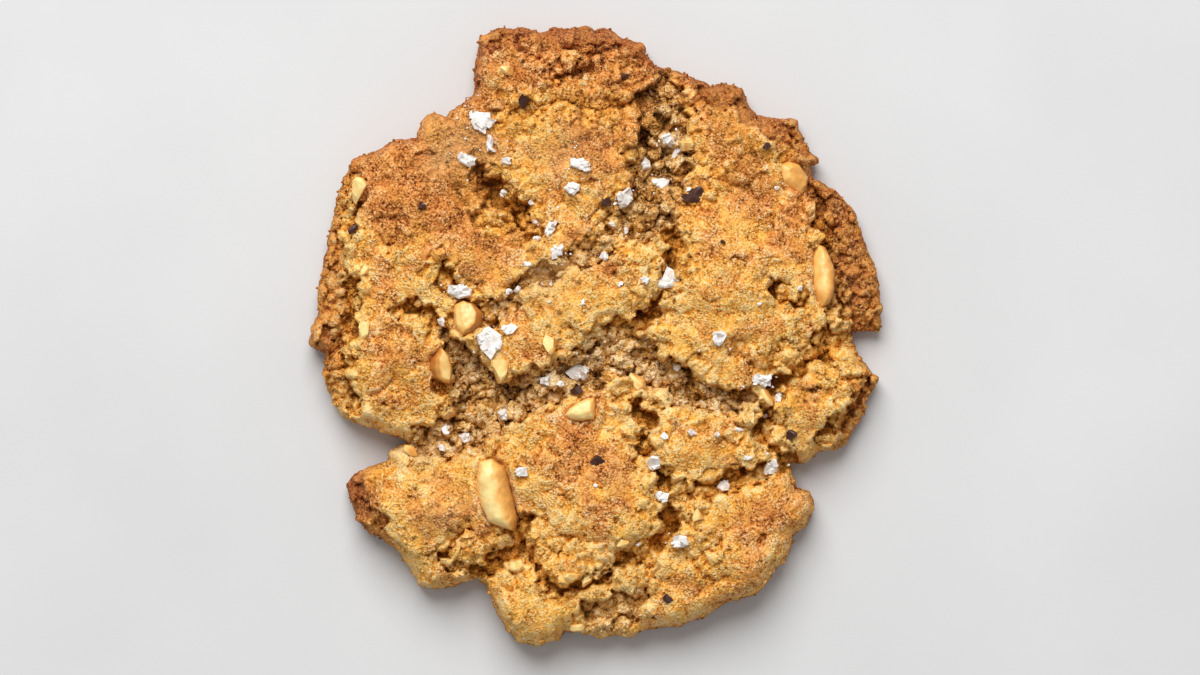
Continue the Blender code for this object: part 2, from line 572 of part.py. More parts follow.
def keep_one_body(body):
    """Levels the underside, merges the Booleans' slivers and drops any scrap that they left loose."""
    bm = bmesh.new()
    bm.from_mesh(body.data)
    for vert in bm.verts:
        if vert.co.z < LEVEL_BELOW / 1000:
            vert.co.z = 0.0
    bmesh.ops.remove_doubles(bm, verts=bm.verts, dist=WELD / 1000)
    unseen = set(bm.verts)
    groups = []
    while unseen:
        group, front = set(), [unseen.pop()]
        while front:
            vert = front.pop()
            group.add(vert)
            linked = {e.other_vert(vert) for e in vert.link_edges} & unseen
            unseen -= linked
            front += linked
        groups.append(group)
    largest = max(groups, key=len)
    loose = [v for group in groups if group is not largest for v in group]
    bmesh.ops.delete(bm, geom=loose, context="VERTS")
    bmesh.ops.triangulate(bm, faces=bm.faces)
    bm.to_mesh(body.data)
    bm.free()
    shade(body.data)


def centre_on_origin(objects):
    """Moves the meshes together, so that their box is centred on the origin in plan and starts at Z = 0."""
    corners = np.array([v.co for made in objects for v in made.data.vertices])
    low, high = corners.min(axis=0), corners.max(axis=0)
    move = Vector((-(low[0] + high[0]) / 2, -(low[1] + high[1]) / 2, -low[2]))
    for made in objects:
        made.data.transform(Matrix.Translation(move))


def main():
    for old in list(bpy.data.objects):
        bpy.data.objects.remove(old)
    parts = new_collection("peanut_butter_cookie")
    cutters = new_collection("pockets")
    toppings = new_collection("toppings")

    edge = rough_edge()
    body = cookie_body(edge, parts, material("baked_crust", CRUST_COLOUR, 0.85))
    peanuts_and_pockets(edge, parts, cutters, material("roasted_peanut", PEANUT_COLOUR, 0.45))
    baked_on_toppings(edge, toppings)

    apply_boolean(body, "UNION", toppings)
    apply_boolean(body, "DIFFERENCE", cutters)
    for helper in list(toppings.objects) + list(cutters.objects):
        bpy.data.objects.remove(helper)
    keep_one_body(body)
    centre_on_origin(list(parts.objects))


main()
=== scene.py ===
import math
import random
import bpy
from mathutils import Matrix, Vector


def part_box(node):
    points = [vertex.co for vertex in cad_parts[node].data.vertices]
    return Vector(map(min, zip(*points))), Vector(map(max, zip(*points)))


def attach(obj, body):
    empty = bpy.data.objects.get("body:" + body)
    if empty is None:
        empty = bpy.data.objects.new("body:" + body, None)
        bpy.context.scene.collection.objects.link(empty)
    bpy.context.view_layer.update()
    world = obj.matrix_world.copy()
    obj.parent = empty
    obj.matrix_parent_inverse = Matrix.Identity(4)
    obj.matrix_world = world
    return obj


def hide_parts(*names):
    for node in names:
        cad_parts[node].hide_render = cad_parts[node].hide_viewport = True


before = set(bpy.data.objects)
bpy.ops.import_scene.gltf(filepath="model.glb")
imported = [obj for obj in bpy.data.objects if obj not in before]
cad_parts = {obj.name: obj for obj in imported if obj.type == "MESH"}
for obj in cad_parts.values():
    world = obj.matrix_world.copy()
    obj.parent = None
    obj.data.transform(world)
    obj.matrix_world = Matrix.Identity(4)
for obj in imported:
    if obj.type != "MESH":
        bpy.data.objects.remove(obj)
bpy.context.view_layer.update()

from types import SimpleNamespace

import bmesh
import bpy
import numpy as np
from mathutils import Matrix, Vector, noise

# The top view: places on the cookie are (right, down) in the picture's 1200 x 675 pixels.
view = {
    "cookieLength": 111.2,   # mm, along Y
    "lengthInView": 619.0,
    "cookieCentre": (595.5, 336.0),
    "pictureWidth": 1200,
    "pictureCentre": (600.0, 337.5),
    "lens": 180.0,
    "sensor": 36.0,
    "sharpHeight": 4.0,      # mm, the height at which a pixel is true to size
}
mmPerPixel = view["cookieLength"] / view["lengthInView"]


def place(right, down):
    middleRight, middleDown = view["cookieCentre"]
    return np.array(((right - middleRight) * mmPerPixel, (middleDown - down) * mmPerPixel))


# Cookie shape, the same driving sizes as the solid. A wave is its amount and length in mm and its own shift,
# stretches are a wave and the values between which it sets in, and lumps have a size in mm and a shift.
cookie = {
    "centreHeight": 13.0,
    "rimHeight": 9.2,
    "edgeHeight": 3.0,
    "leastCrust": 1.5,
    "edgeBand": 0.8,
    "rimRounding": 3.1,
    "rimRoundingChange": (1.8, 11.0, 31.4),
    "undersideRounding": 1.7,
    "domeReach": 42.0,
    "edgeJag": (0.45, 2.6, 3.7),
    "fineEdgeJag": (0.3, 0.9, 5.1),
    "crackWander": ((0.8, 4.5, 11.3), (0.8, 4.5, 17.9)),
    "fineWander": ((0.4, 1.3, 41.0), (0.4, 1.3, 47.2)),
    "swell": (1.1, 11.0, 0.5),
    "lump": (0.8, 4.2, 8.2),
    "shoulder": (1.7, 4.5),        # how far a plate sinks towards a rift or crack, and over what width
    "shoulderFade": (3.6, 3.0),    # a cut shallower than the first bends a plate less
    "shoulderChange": (0.7, (0.9, 9.0, 57.0)),
    "clumps": (5.6, 29.3),
    "clods": (3.0, 53.7),
    "lumps": (2.4, 2.2),
    "grains": (1.1, 6.6),
    "bend": {"clumps": 0.5, "clods": 0.4},         # how far larger lumps follow the lumps' outlines
    "follow": {"lumps": 0.6, "grains": 0.35, "clumps": 0.22},     # how far a crack's side follows each
    "sides": {"rifts": (0.8, 1.12), "cracks": (0.4, 1.4), "hairlines": (0.2, 1.4), "foot": (0.5, 1.5)},
    "gape": (0.45, 0.7, ((1.0, 5.5, 91.0), -0.25, 0.3)),
    "underWalls": (1.4, 0.74, 0.16, ((1.0, 6.0, 95.0), -0.15, 0.25)),
    "tornAt": 3.0,                 # mm, the depth from which dough counts as torn
    "footAt": 2.4,
    "raggedWithin": (0.9, 2.0),
    "step": 0.37,                  # mesh fineness, mm
    "edgeStep": 0.5,
    "borderPull": 0.9,
    "longEdge": 2.1,               # steps, the length from which a wall's edge is cut in two
    "wallRough": (0.38, 1.7),
    "skinRough": (0.1, 0.6),
    "downFacing": -0.6,
    "blisters": (3.4, 71.0),
    "blister": (0.5, 0.1, 0.45, 0.2),
    "undersideWave": (0.35, 4.0, 73.0),
    "triangles": 192000,
}

# Fine relief in mm. Pairs are what holds everywhere, and what is added where the dough is loose.
relief = {
    "crumbly": (0.45, (0.9, 11.0, 83.0)),
    "loose": {"foot": 0.7, "ragged": 0.7, "crumbly": 0.5, "smooth": 0.8},
    "looseness": 1.5,
    "roundness": 1.5,
    "clumpRoundness": 1.6,
    "rimLevel": {"clods": 0.42, "clumps": 0.36, "lumps": 0.38},
    "seams": {"clods": (0.03, 0.24), "clumps": (0.02, 0.16), "lumps": (0.03, 0.2), "grains": (0.04, 0.26),
              "hairlines": (0.012, 0.06)},
    "clod": (2.3, 1.0, 0.7),       # roundness, difference in level and depth of the gaps
    "clodWave": (0.5, (1.4, 2.9, 23.1)),
    "clodsOn": (2.0, 0.45),        # the depth of rift with full clods, and the foot's share of them
    "clump": (1.1, 0.4, 0.8),      # roundness, difference in level and depth of the creases
    "clumpsOn": (0.35, 0.65),
    "creasesOn": (0.6, 0.35, 0.8),
    "lumpLevels": (0.1, 1.05),
    "grainLevels": (0.08, 0.34),
    "lumpDomes": (0.14, 1.1),
    "grainDomes": (0.24, 0.6),
    "grainy": (0.8, (1.6, 4.0, 107.0)),
    "lumpGaps": (0.8, 0.3),        # depth, and how much less in a rift
    "grainGaps": 0.3,
    "grainGapsOn": (0.1, 0.9),
    "smoothness": 0.6,
    "grain": (0.12, 0.8, 9.9),
    "hairlines": (7.0, 12.5),
    "hairlineDepth": 0.5,
    "hairlineStretches": ((1.0, 9.0, 15.5), 0.0, 0.35),
    "pits": (2.0, 19.1),
    "pit": (0.7, 0.08, 0.26, 0.3),
    "reliefWithin": 1.6,
    "crackLevels": (0.85, 0.3),    # how deep a crack cuts, and how much more on a high lump
    "overlap": 0.45,               # of two cuts in one place, how much of the shallower one counts
    "lots": (0.5, 0.3, 0.2),       # middle, and the shares of lumps and grains
    # shares of the gaps beside nuts, of hairlines, grain seams and the foot's clod gaps that the colour
    # darkens: painted shade
    "shown": {"nutGap": 0.4, "hairline": 0.7, "grainGap": 0.5, "footGap": 0.6},
}

# The torn outer edge, clockwise from the top lobe
edgePlaces = (
    (480, 36), (500, 28), (522, 28), (540, 32), (555, 27), (572, 28), (590, 28), (610, 29), (622, 38),
    (644, 44), (646, 54), (656, 67), (680, 72), (700, 81), (712, 86), (725, 83), (741, 88), (750, 106),
    (757, 115), (780, 119), (797, 119), (799, 130), (810, 150), (822, 161), (811, 166), (812, 179),
    (826, 186), (843, 197), (855, 215), (864, 240), (876, 272), (883, 308), (880, 331), (853, 331),
    (852, 345), (862, 360), (874, 374), (879, 376), (872, 392), (860, 421), (845, 447), (836, 451),
    (820, 451), (806, 462), (791, 463), (795, 488), (810, 491), (814, 507), (806, 525), (795, 534),
    (788, 555), (770, 578), (757, 592), (722, 606), (700, 619), (675, 626), (650, 628), (632, 637),
    (616, 636), (600, 638), (585, 634), (565, 632), (557, 641), (540, 646), (518, 642), (500, 620),
    (492, 602), (487, 583), (476, 578), (460, 583), (445, 588), (420, 586), (400, 555), (395, 549),
    (381, 539), (366, 530), (352, 508), (346, 484), (360, 470), (388, 461), (389, 451), (408, 443),
    (392, 434), (362, 426), (342, 417), (332, 395), (324, 376), (326, 354), (310, 345), (311, 331),
    (318, 315), (318, 290), (328, 242), (334, 208), (343, 180), (352, 160), (380, 150), (393, 139),
    (416, 138), (420, 123), (432, 112), (446, 117), (458, 104), (472, 95), (477, 84), (473, 74), (477, 56),
)

# Swellings of the crust plates: right, down, radius and height in mm
plates = (
    (570, 72, 8, 1.4), (576, 150, 9, 1.6), (590, 195, 6, 1.0), (735, 262, 12, 1.8), (762, 308, 9, 1.3),
    (404, 205, 10, 1.8), (452, 250, 8, 1.4), (398, 366, 9, 1.9), (640, 262, 7, 1.2), (562, 322, 9, 1.5),
    (588, 478, 10, 1.9), (604, 530, 7, 1.2), (436, 518, 9, 1.6), (740, 570, 9, 1.8), (700, 442, 8, 1.5),
    (828, 392, 7, 1.3), (530, 605, 7, 1.5), (560, 560, 6, 1.0), (360, 270, 6, 0.9), (746, 160, 8, 1.1),
)

# Broad rifts with a crumbly floor: depth, then right, down, half width in mm
rifts = (
    (4.2, ((667, 86, 2.4), (667, 108, 4.4), (665, 145, 5.0), (665, 168, 5.2), (652, 195, 5.0),
           (636, 220, 4.4))),
    (4.6, ((448, 338, 1.6), (470, 372, 3.2), (486, 402, 5.0), (468, 432, 4.2), (424, 446, 2.8))),
    (4.4, ((498, 404, 4.2), (530, 392, 3.4), (560, 386, 3.0), (592, 362, 4.0), (620, 350, 4.0),
           (650, 368, 3.0), (680, 380, 2.8), (708, 397, 3.2), (744, 397, 1.6))),
    (2.4, ((618, 222, 2.6), (602, 246, 1.8), (576, 262, 1.8), (544, 270, 2.2), (520, 286, 1.6),
           (494, 318, 1.5))),
    (2.2, ((640, 592, 2.0), (620, 612, 3.0), (590, 612, 2.4))),
)

# Narrow cracks between and across the plates
cracks = (
    (5.0, ((656, 224, 0.9), (674, 243, 1.2), (667, 263, 1.0), (660, 298, 1.1), (654, 316, 1.3),
           (622, 334, 1.2))),
    (5.6, ((477, 168, 1.0), (488, 187, 2.2), (502, 202, 2.4), (514, 214, 1.9), (524, 228, 1.3),
           (534, 242, 0.8))),
    (3.6, ((440, 252, 0.8), (443, 272, 0.9), (450, 287, 0.9), (478, 305, 1.0), (492, 323, 1.0))),
    (3.0, ((400, 310, 0.7), (416, 309, 0.8), (434, 322, 1.1))),
    (4.4, ((770, 383, 1.0), (786, 375, 0.9), (803, 364, 1.0), (821, 351, 1.9), (836, 336, 1.3),
           (872, 323, 1.1))),
    (4.2, ((773, 384, 0.8), (775, 400, 0.8), (762, 424, 1.4), (764, 440, 1.1), (780, 451, 0.9),
           (790, 461, 1.0))),
    (4.4, ((630, 402, 0.8), (648, 422, 0.8), (642, 442, 0.8), (655, 470, 0.9), (668, 503, 1.7),
           (668, 526, 1.9), (652, 556, 1.2), (620, 562, 0.9), (598, 577, 0.9), (572, 588, 0.8))),
    (3.4, ((672, 496, 0.9), (714, 490, 0.9), (738, 479, 0.9), (764, 470, 0.9), (788, 463, 1.0))),
    (4.6, ((530, 522, 0.9), (515, 546, 1.3), (498, 562, 1.9), (474, 566, 1.1))),
    (3.4, ((538, 556, 0.9), (545, 575, 0.9), (562, 592, 0.9))),
    (2.6, ((442, 556, 0.7), (452, 547, 0.7), (470, 532, 0.7))),
    (3.0, ((352, 176, 0.8), (354, 206, 0.8), (342, 250, 0.8), (352, 282, 0.9), (350, 330, 0.9),
           (352, 412, 0.8))),
    (3.6, ((812, 184, 0.9), (818, 222, 0.9), (833, 264, 0.9), (836, 298, 0.9), (848, 322, 1.0))),
    (3.0, ((862, 390, 0.8), (846, 411, 0.9), (826, 432, 0.9), (820, 446, 0.9))),
    (2.2, ((516, 42, 0.7), (538, 54, 0.8), (580, 50, 0.7), (604, 48, 0.7), (636, 64, 0.8))),
    (3.0, ((770, 288, 1.0), (778, 297, 1.0), (802, 302, 0.6))),
    (2.0, ((548, 76, 0.7), (566, 80, 0.8), (582, 84, 0.7), (584, 64, 0.6))),
    (1.4, ((512, 118, 1.4), (546, 106, 1.4), (590, 110, 1.4), (626, 104, 1.4))),
)

# Hairline cracks that only show close up
hairlines = (
    (0.8, ((698, 209, 0.35), (713, 217, 0.4), (735, 213, 0.3))),
    (0.7, ((713, 262, 0.35), (735, 262, 0.35), (745, 267, 0.3))),
    (0.7, ((700, 545, 0.35), (717, 546, 0.35), (735, 550, 0.4), (752, 545, 0.35), (767, 540, 0.3))),
    (0.5, ((735, 560, 0.3), (751, 555, 0.35))),
    (0.7, ((540, 440, 0.3), (552, 452, 0.35), (562, 462, 0.3))),
    (0.6, ((580, 433, 0.3), (595, 434, 0.3))),
    (0.7, ((575, 186, 0.3), (600, 182, 0.35), (612, 190, 0.3))),
    (0.7, ((690, 300, 0.3), (706, 296, 0.35), (720, 304, 0.3))),
    (0.9, ((783, 183, 0.3), (789, 188, 0.4), (796, 193, 0.35))),
)

# Lower, darker stretches of the foot round the edge
foot = (
    (2.8, ((338, 205, 1.6), (330, 255, 2.2), (332, 310, 3.0), (338, 360, 2.4), (342, 398, 1.8))),
    (3.2, ((822, 196, 1.8), (838, 222, 2.8), (852, 255, 3.2), (862, 300, 3.6), (866, 322, 2.6))),
    (2.6, ((868, 386, 1.8), (858, 412, 2.2), (842, 438, 2.0))),
    (1.8, ((486, 44, 1.6), (530, 38, 1.8), (580, 37, 1.8), (630, 46, 2.0), (652, 62, 1.4))),
    (2.6, ((706, 92, 1.8), (738, 98, 2.0), (772, 126, 2.2), (806, 152, 2.2))),
    (2.8, ((354, 488, 2.4), (364, 508, 2.4), (380, 532, 1.8))),
)

# Pockets where the dough tore open: right, down, length and width in mm, heading, depth in mm
pockets = (
    (640, 102, 3.4, 1.8, 60, 2.6), (662, 84, 3.0, 1.6, 0, 2.0), (641, 138, 5.4, 2.0, 85, 3.2),
    (655, 158, 3.4, 2.4, 0, 2.4), (650, 118, 2.0, 1.6, 0, 1.8), (678, 107, 2.0, 1.6, 0, 1.6),
    (688, 212, 2.8, 1.6, 0, 2.4), (503, 127, 1.3, 1.2, 0, 1.6), (354, 202, 1.8, 1.6, 0, 2.2),
    (357, 278, 2.4, 1.2, 0, 2.2), (355, 305, 4.4, 1.4, 85, 2.2), (410, 309, 5.0, 1.3, 2, 2.6),
    (436, 322, 2.8, 1.8, -60, 2.8), (488, 318, 2.0, 1.4, 80, 2.2), (671, 247, 4.4, 1.6, 75, 3.2),
    (641, 318, 4.0, 1.6, 35, 2.6), (614, 330, 4.6, 2.2, 15, 2.4), (775, 292, 3.8, 2.2, -60, 2.8),
    (779, 160, 5.0, 1.0, 0, 1.8), (822, 350, 3.2, 3.0, 0, 3.4), (698, 394, 7.4, 3.2, -10, 3.6),
    (738, 397, 4.6, 2.0, 0, 3.2), (668, 386, 2.6, 1.8, 0, 1.8), (760, 427, 4.4, 2.4, 80, 3.4),
    (780, 447, 4.2, 1.4, -35, 2.2), (823, 428, 4.2, 2.4, 60, 3.6), (642, 437, 3.6, 1.6, 80, 2.8),
    (739, 474, 4.6, 1.6, 20, 3.0), (668, 514, 6.6, 2.6, -82, 3.4), (497, 558, 4.8, 2.4, -8, 4.0),
    (527, 547, 4.6, 2.0, -65, 3.8), (510, 531, 3.2, 1.2, 0, 2.6), (548, 582, 5.0, 1.2, -50, 2.8),
    (600, 574, 3.8, 1.6, 25, 3.0), (620, 567, 4.2, 1.8, 20, 3.0), (644, 558, 3.8, 1.8, 35, 2.6),
    (591, 612, 2.0, 1.8, 0, 2.0), (607, 606, 2.2, 1.6, 0, 1.6), (632, 613, 2.4, 1.8, 0, 2.6),
    (655, 616, 1.8, 1.4, 0, 1.8), (625, 627, 1.6, 1.2, 0, 1.6), (480, 443, 3.6, 2.0, 0, 2.4),
    (518, 391, 4.0, 2.4, 10, 2.0), (492, 408, 3.0, 2.0, 60, 1.8), (588, 366, 3.4, 2.0, 20, 2.0),
    (580, 76, 3.4, 1.2, 80, 1.8), (554, 78, 2.6, 1.2, 0, 1.6), (446, 552, 4.0, 1.1, 35, 2.2),
    (462, 566, 5.4, 1.2, 5, 2.0), (615, 519, 2.0, 1.2, 60, 1.4), (806, 190, 2.6, 1.0, 60, 1.8),
    (486, 182, 4.6, 2.8, -50, 4.0), (500, 200, 5.6, 3.2, -50, 4.6), (515, 218, 5.0, 2.0, -58, 3.8),
    (602, 236, 2.4, 1.4, 45, 1.8), (656, 470, 2.6, 1.3, -60, 2.0), (592, 52, 5.4, 1.0, 0, 1.6),
    (620, 58, 4.4, 0.9, -30, 1.4), (870, 322, 2.6, 1.2, 20, 1.8), (790, 165, 1.6, 1.2, 0, 1.4),
    (470, 330, 1.6, 1.0, 60, 1.2), (552, 410, 1.6, 1.2, 0, 1.2), (510, 533, 3.4, 1.6, 10, 2.6),
    (482, 513, 2.4, 0.9, -60, 1.8), (494, 460, 2.2, 0.8, 0, 1.0), (836, 271, 2.4, 1.0, 80, 2.0),
    (830, 311, 2.6, 1.8, 0, 2.4), (820, 243, 2.2, 1.0, 0, 1.6), (448, 349, 2.8, 1.3, -45, 2.0),
    (438, 385, 2.2, 2.2, 0, 2.4), (490, 317, 1.6, 3.2, 0, 2.4), (482, 308, 2.6, 1.0, -40, 1.6),
    (452, 326, 1.0, 3.0, 20, 1.4), (784, 159, 3.6, 1.4, 10, 2.2), (806, 161, 1.8, 1.4, 0, 2.0),
    (584, 421, 4.4, 0.7, 5, 1.2), (580, 394, 3.0, 1.8, 30, 1.8),
)

# Raised knobs of dough: right, down, radius and height in mm
knobs = (
    (721, 106, 2.8, 1.5), (702, 122, 2.0, 0.9), (742, 128, 2.2, 0.8), (766, 140, 2.2, 0.9),
    (430, 128, 2.6, 0.9), (694, 508, 2.0, 1.1), (700, 528, 2.2, 1.1), (625, 536, 2.4, 1.2),
    (786, 400, 2.4, 1.0), (560, 572, 2.4, 0.8), (452, 278, 2.4, 0.9), (466, 262, 2.2, 0.7),
    (505, 195, 1.8, 0.6), (664, 110, 2.0, 1.4), (676, 128, 2.0, 1.2), (668, 200, 2.2, 1.3),
    (640, 210, 2.0, 1.0), (470, 420, 2.0, 1.2), (500, 440, 2.2, 1.0), (535, 400, 1.9, 1.1),
    (610, 362, 1.9, 1.1), (668, 358, 2.0, 0.9), (716, 405, 1.7, 1.0), (640, 232, 2.0, 0.7),
    (790, 345, 2.2, 0.7),
)

# Where butter left the dough smooth: right, down, radius in mm, amount
smoothed = (
    (462, 142, 4.5, 0.6), (492, 158, 3.5, 0.3), (545, 281, 4.5, 0.7), (575, 268, 3.0, 0.4),
    (440, 165, 3.0, 0.6), (424, 455, 3.5, 0.7), (830, 285, 3.5, 0.5), (800, 440, 3.0, 0.6),
    (560, 150, 6.0, 0.4), (440, 520, 5.0, 0.4),
)

# Where the dough is most yellow: right, down, radius in mm, amount
golden = (
    (721, 106, 3.4, 0.9), (698, 518, 4.4, 0.9), (430, 125, 3.2, 0.6), (625, 540, 3.0, 0.7),
    (786, 402, 4.0, 0.8), (790, 440, 3.4, 0.7), (748, 132, 4.5, 0.6), (560, 580, 4.0, 0.5),
    (455, 272, 4.0, 0.5), (690, 330, 6.0, 0.4), (590, 330, 5.0, 0.5), (700, 440, 5.0, 0.5),
    (540, 205, 4.0, 0.3), (605, 600, 7.0, 0.7), (540, 615, 6.0, 0.6), (480, 335, 3.0, 0.4),
    (500, 100, 3.0, 0.4), (630, 205, 3.0, 0.4), (460, 470, 4.0, 0.5), (385, 480, 4.0, 0.5),
    (412, 565, 6.0, 0.7), (345, 398, 5.0, 0.6), (720, 180, 4.0, 0.5),
)

# Where the rim baked darkest: right, down, radius in mm, amount
charred = (
    (490, 50, 8, 0.9), (530, 35, 8, 1.15), (575, 36, 8, 1.15), (625, 46, 7, 1.1), (655, 64, 5, 0.7),
    (700, 82, 7, 0.9), (740, 96, 5, 0.9), (775, 124, 7, 1.1), (808, 148, 6, 0.9), (830, 200, 7, 1.0),
    (852, 245, 8, 1.0), (868, 300, 8, 1.0), (868, 380, 7, 0.75), (850, 428, 7, 0.75), (355, 155, 6, 0.7),
    (340, 210, 8, 0.7), (325, 270, 8, 0.8), (318, 330, 8, 0.8), (330, 380, 7, 0.4), (355, 490, 7, 1.0),
    (368, 520, 6, 0.9), (485, 85, 6, 0.6), (385, 150, 5, 0.6), (440, 115, 4, 0.4), (808, 505, 5, 0.4),
    (490, 600, 5, 0.5), (390, 550, 4, 0.4), (600, 632, 7, 0.3), (780, 560, 6, 0.3), (560, 50, 9, 0.5),
)

# Where the crust browned most, and below zero least: right, down, radius in mm, amount. Entries below zero also
# lighten walls that turn from the light, a painted light
brownedAndPaintedLight = (
    (590, 150, 8, 0.7), (606, 118, 6, 0.5), (395, 195, 10, 0.6), (450, 230, 9, 0.5), (385, 350, 7, 0.5),
    (520, 78, 6, 0.4), (622, 78, 6, 0.7), (552, 52, 9, 0.6), (592, 470, 8, 0.5), (606, 500, 6, 0.5),
    (432, 512, 8, 0.5), (804, 215, 6, 0.5), (828, 385, 6, 0.2), (345, 200, 7, 0.3), (700, 450, 5, 0.3),
    (470, 190, 6, 0.5), (372, 300, 5, 0.1), (575, 440, 4, 0.3), (690, 70, 7, 0.7), (480, 90, 4, 0.5),
    (735, 145, 8, 0.35), (655, 115, 5, 0.7), (720, 195, 7, 0.2), (775, 200, 6, 0.4), (545, 40, 8, 0.65),
    (605, 38, 6, 0.8), (825, 277, 4, 0.5), (450, 150, 8, 1.2), (412, 168, 7, 0.8), (472, 118, 5, 0.8),
    (520, 246, 6, 0.6), (548, 276, 4, -0.4), (654, 190, 5, 0.9), (764, 518, 6, 0.4), (785, 500, 5, 0.35),
    (615, 315, 4, -0.4), (380, 420, 5, 0.2), (800, 395, 6, 0.3), (740, 580, 7, 0.15), (530, 610, 7, -0.3),
    (600, 620, 8, -0.3), (405, 555, 6, -0.3), (390, 515, 6, -0.3), (356, 500, 4, 1.3), (600, 490, 6, -0.3),
    (560, 80, 9, -0.3), (405, 225, 7, -0.2), (390, 375, 6, -0.3), (852, 415, 7, -0.7), (348, 225, 6, -0.3),
    (336, 290, 6, -0.3), (342, 395, 7, -0.5), (412, 440, 5, -1.2), (478, 352, 4, -0.5), (640, 412, 4, -0.7),
    (770, 418, 4, -0.7), (700, 478, 5, -0.5), (510, 360, 5, 0.4), (640, 550, 6, -1.0), (560, 505, 5, -0.4),
    (600, 335, 5, -0.2), (430, 308, 4, -0.4), (720, 115, 6, 0.7), (400, 400, 6, 0.5), (485, 362, 4, -0.5),
    (563, 366, 4, -0.5), (655, 388, 5, -0.4), (690, 490, 5, -0.4), (700, 392, 5, -0.4), (600, 385, 5, 0.4),
    (470, 400, 6, 0.4), (585, 248, 6, 0.4), (560, 595, 5, 0.4), (630, 600, 5, 0.3), (380, 440, 4, -0.3),
    (350, 250, 4, -0.4),
)


def ripple(points, wave):
    amount, length, shift = wave
    return amount * np.array([noise.noise((x / length, y / length, shift)) for x, y in points])


def cells(points, size, shift):
    # each point's lump: how far its middle and the next one's are in lump sizes, the middle, its own number
    found = [noise.voronoi((x / size, y / size, shift)) for x, y in points]
    return SimpleNamespace(
        near=np.array([f[0][0] for f in found]), beyond=np.array([f[0][1] for f in found]),
        middle=np.array([f[1][0][:2] for f in found]) * size,
        lot=np.array([noise.cell(f[1][0]) for f in found]))


def ease(values, low, high):
    t = np.clip((values - low) / (high - low), 0.0, 1.0)
    return t * t * (3.0 - 2.0 * t)


def stretches(points, wave, low, high):
    return ease(ripple(points, wave), low, high)


def seam(lumps, kind):
    # 1 where two lumps meet
    return 1.0 - ease(lumps.beyond - lumps.near, *relief["seams"][kind])


def bulge(values):
    # the square of a quarter circle's height
    return 1.0 - (1.0 - np.clip(values, 0.0, 1.0)) ** 2


def toSegment(points, start, end):
    run = end - start
    along = np.clip((points - start) @ run / (run @ run), 0.0, 1.0)
    return along, start + along[:, None] * run


def roughEdge():
    # the outer edge as a closed run of points a short step apart, jagged
    corners = [place(*corner) for corner in edgePlaces]
    points = []
    for start, end in zip(corners, corners[1:] + corners[:1]):
        steps = max(1, round(float(np.linalg.norm(end - start)) / cookie["edgeStep"]))
        points += [start + (end - start) * i / steps for i in range(steps)]
    points = np.array(points)
    out = points / np.linalg.norm(points, axis=1)[:, None]
    jag = ripple(points, cookie["edgeJag"]) + ripple(points, cookie["fineEdgeJag"])
    return points + out * jag[:, None]


def nearestOnEdge(edge, points):
    best = np.full(len(points), np.inf)
    spot = points.copy()
    for start, end in zip(edge, np.roll(edge, -1, axis=0)):
        _, near = toSegment(points, start, end)
        distance = np.linalg.norm(points - near, axis=1)
        closer = distance < best
        best[closer] = distance[closer]
        spot[closer] = near[closer]
    return best, spot


def insideEdge(edge, points):
    crossings = np.zeros(len(points), int)
    for (x0, y0), (x1, y1) in zip(edge, np.roll(edge, -1, axis=0)):
        if y0 == y1:
            continue
        spans = (points[:, 1] >= min(y0, y1)) & (points[:, 1] < max(y0, y1))
        crossings += spans & (points[:, 0] < x0 + (points[:, 1] - y0) * (x1 - x0) / (y1 - y0))
    return crossings % 2 == 1


def strokeRatio(points, stroke):
    # distance from the stroke's middle line, divided by its half width there, and the distance from its side
    ratio = np.full(len(points), np.inf)
    beyond = np.full(len(points), np.inf)
    for (right0, down0, width0), (right1, down1, width1) in zip(stroke, stroke[1:]):
        along, near = toSegment(points, place(right0, down0), place(right1, down1))
        distance = np.linalg.norm(points - near, axis=1)
        width = width0 + along * (width1 - width0)
        ratio = np.minimum(ratio, distance / width)
        beyond = np.minimum(beyond, distance - width)
    return ratio, beyond


def carved(points, strokes, floor, rim):
    # the deepest cut of these strokes at each point, how near the closest one is, and how far its side, in
    # the widths of a plate's shoulder
    depth = np.zeros(len(points))
    closest = np.full(len(points), np.inf)
    aside = np.full(len(points), np.inf)
    fadeFrom, fadeBy = cookie["shoulderFade"]
    for strokeDepth, stroke in strokes:
        ratio, beyond = strokeRatio(points, stroke)
        depth = np.maximum(depth, strokeDepth * (1.0 - ease(ratio, floor, rim)))
        closest = np.minimum(closest, ratio)
        aside = np.minimum(aside, beyond / cookie["shoulder"][1] + max(0.0, fadeFrom - strokeDepth) / fadeBy)
    return depth, closest, aside


def pocketed(points):
    # the depth of the torn pockets at each point
    depth = np.zeros(len(points))
    for right, down, length, width, heading, deep in pockets:
        turn = math.radians(heading)
        away = points - place(right, down)
        along = (away[:, 0] * math.cos(turn) + away[:, 1] * math.sin(turn)) / (length / 2)
        across = (away[:, 1] * math.cos(turn) - away[:, 0] * math.sin(turn)) / (width / 2)
        depth = np.maximum(depth, deep * (1.0 - ease(np.hypot(along, across), 0.6, 1.2)))
    return depth


def humps(points, listed):
    # round swellings, each with its radius and height
    total = np.zeros(len(points))
    for right, down, radius, height in listed:
        apart = np.linalg.norm(points - place(right, down), axis=1) / radius
        total += height * np.exp(-apart * apart)
    return total


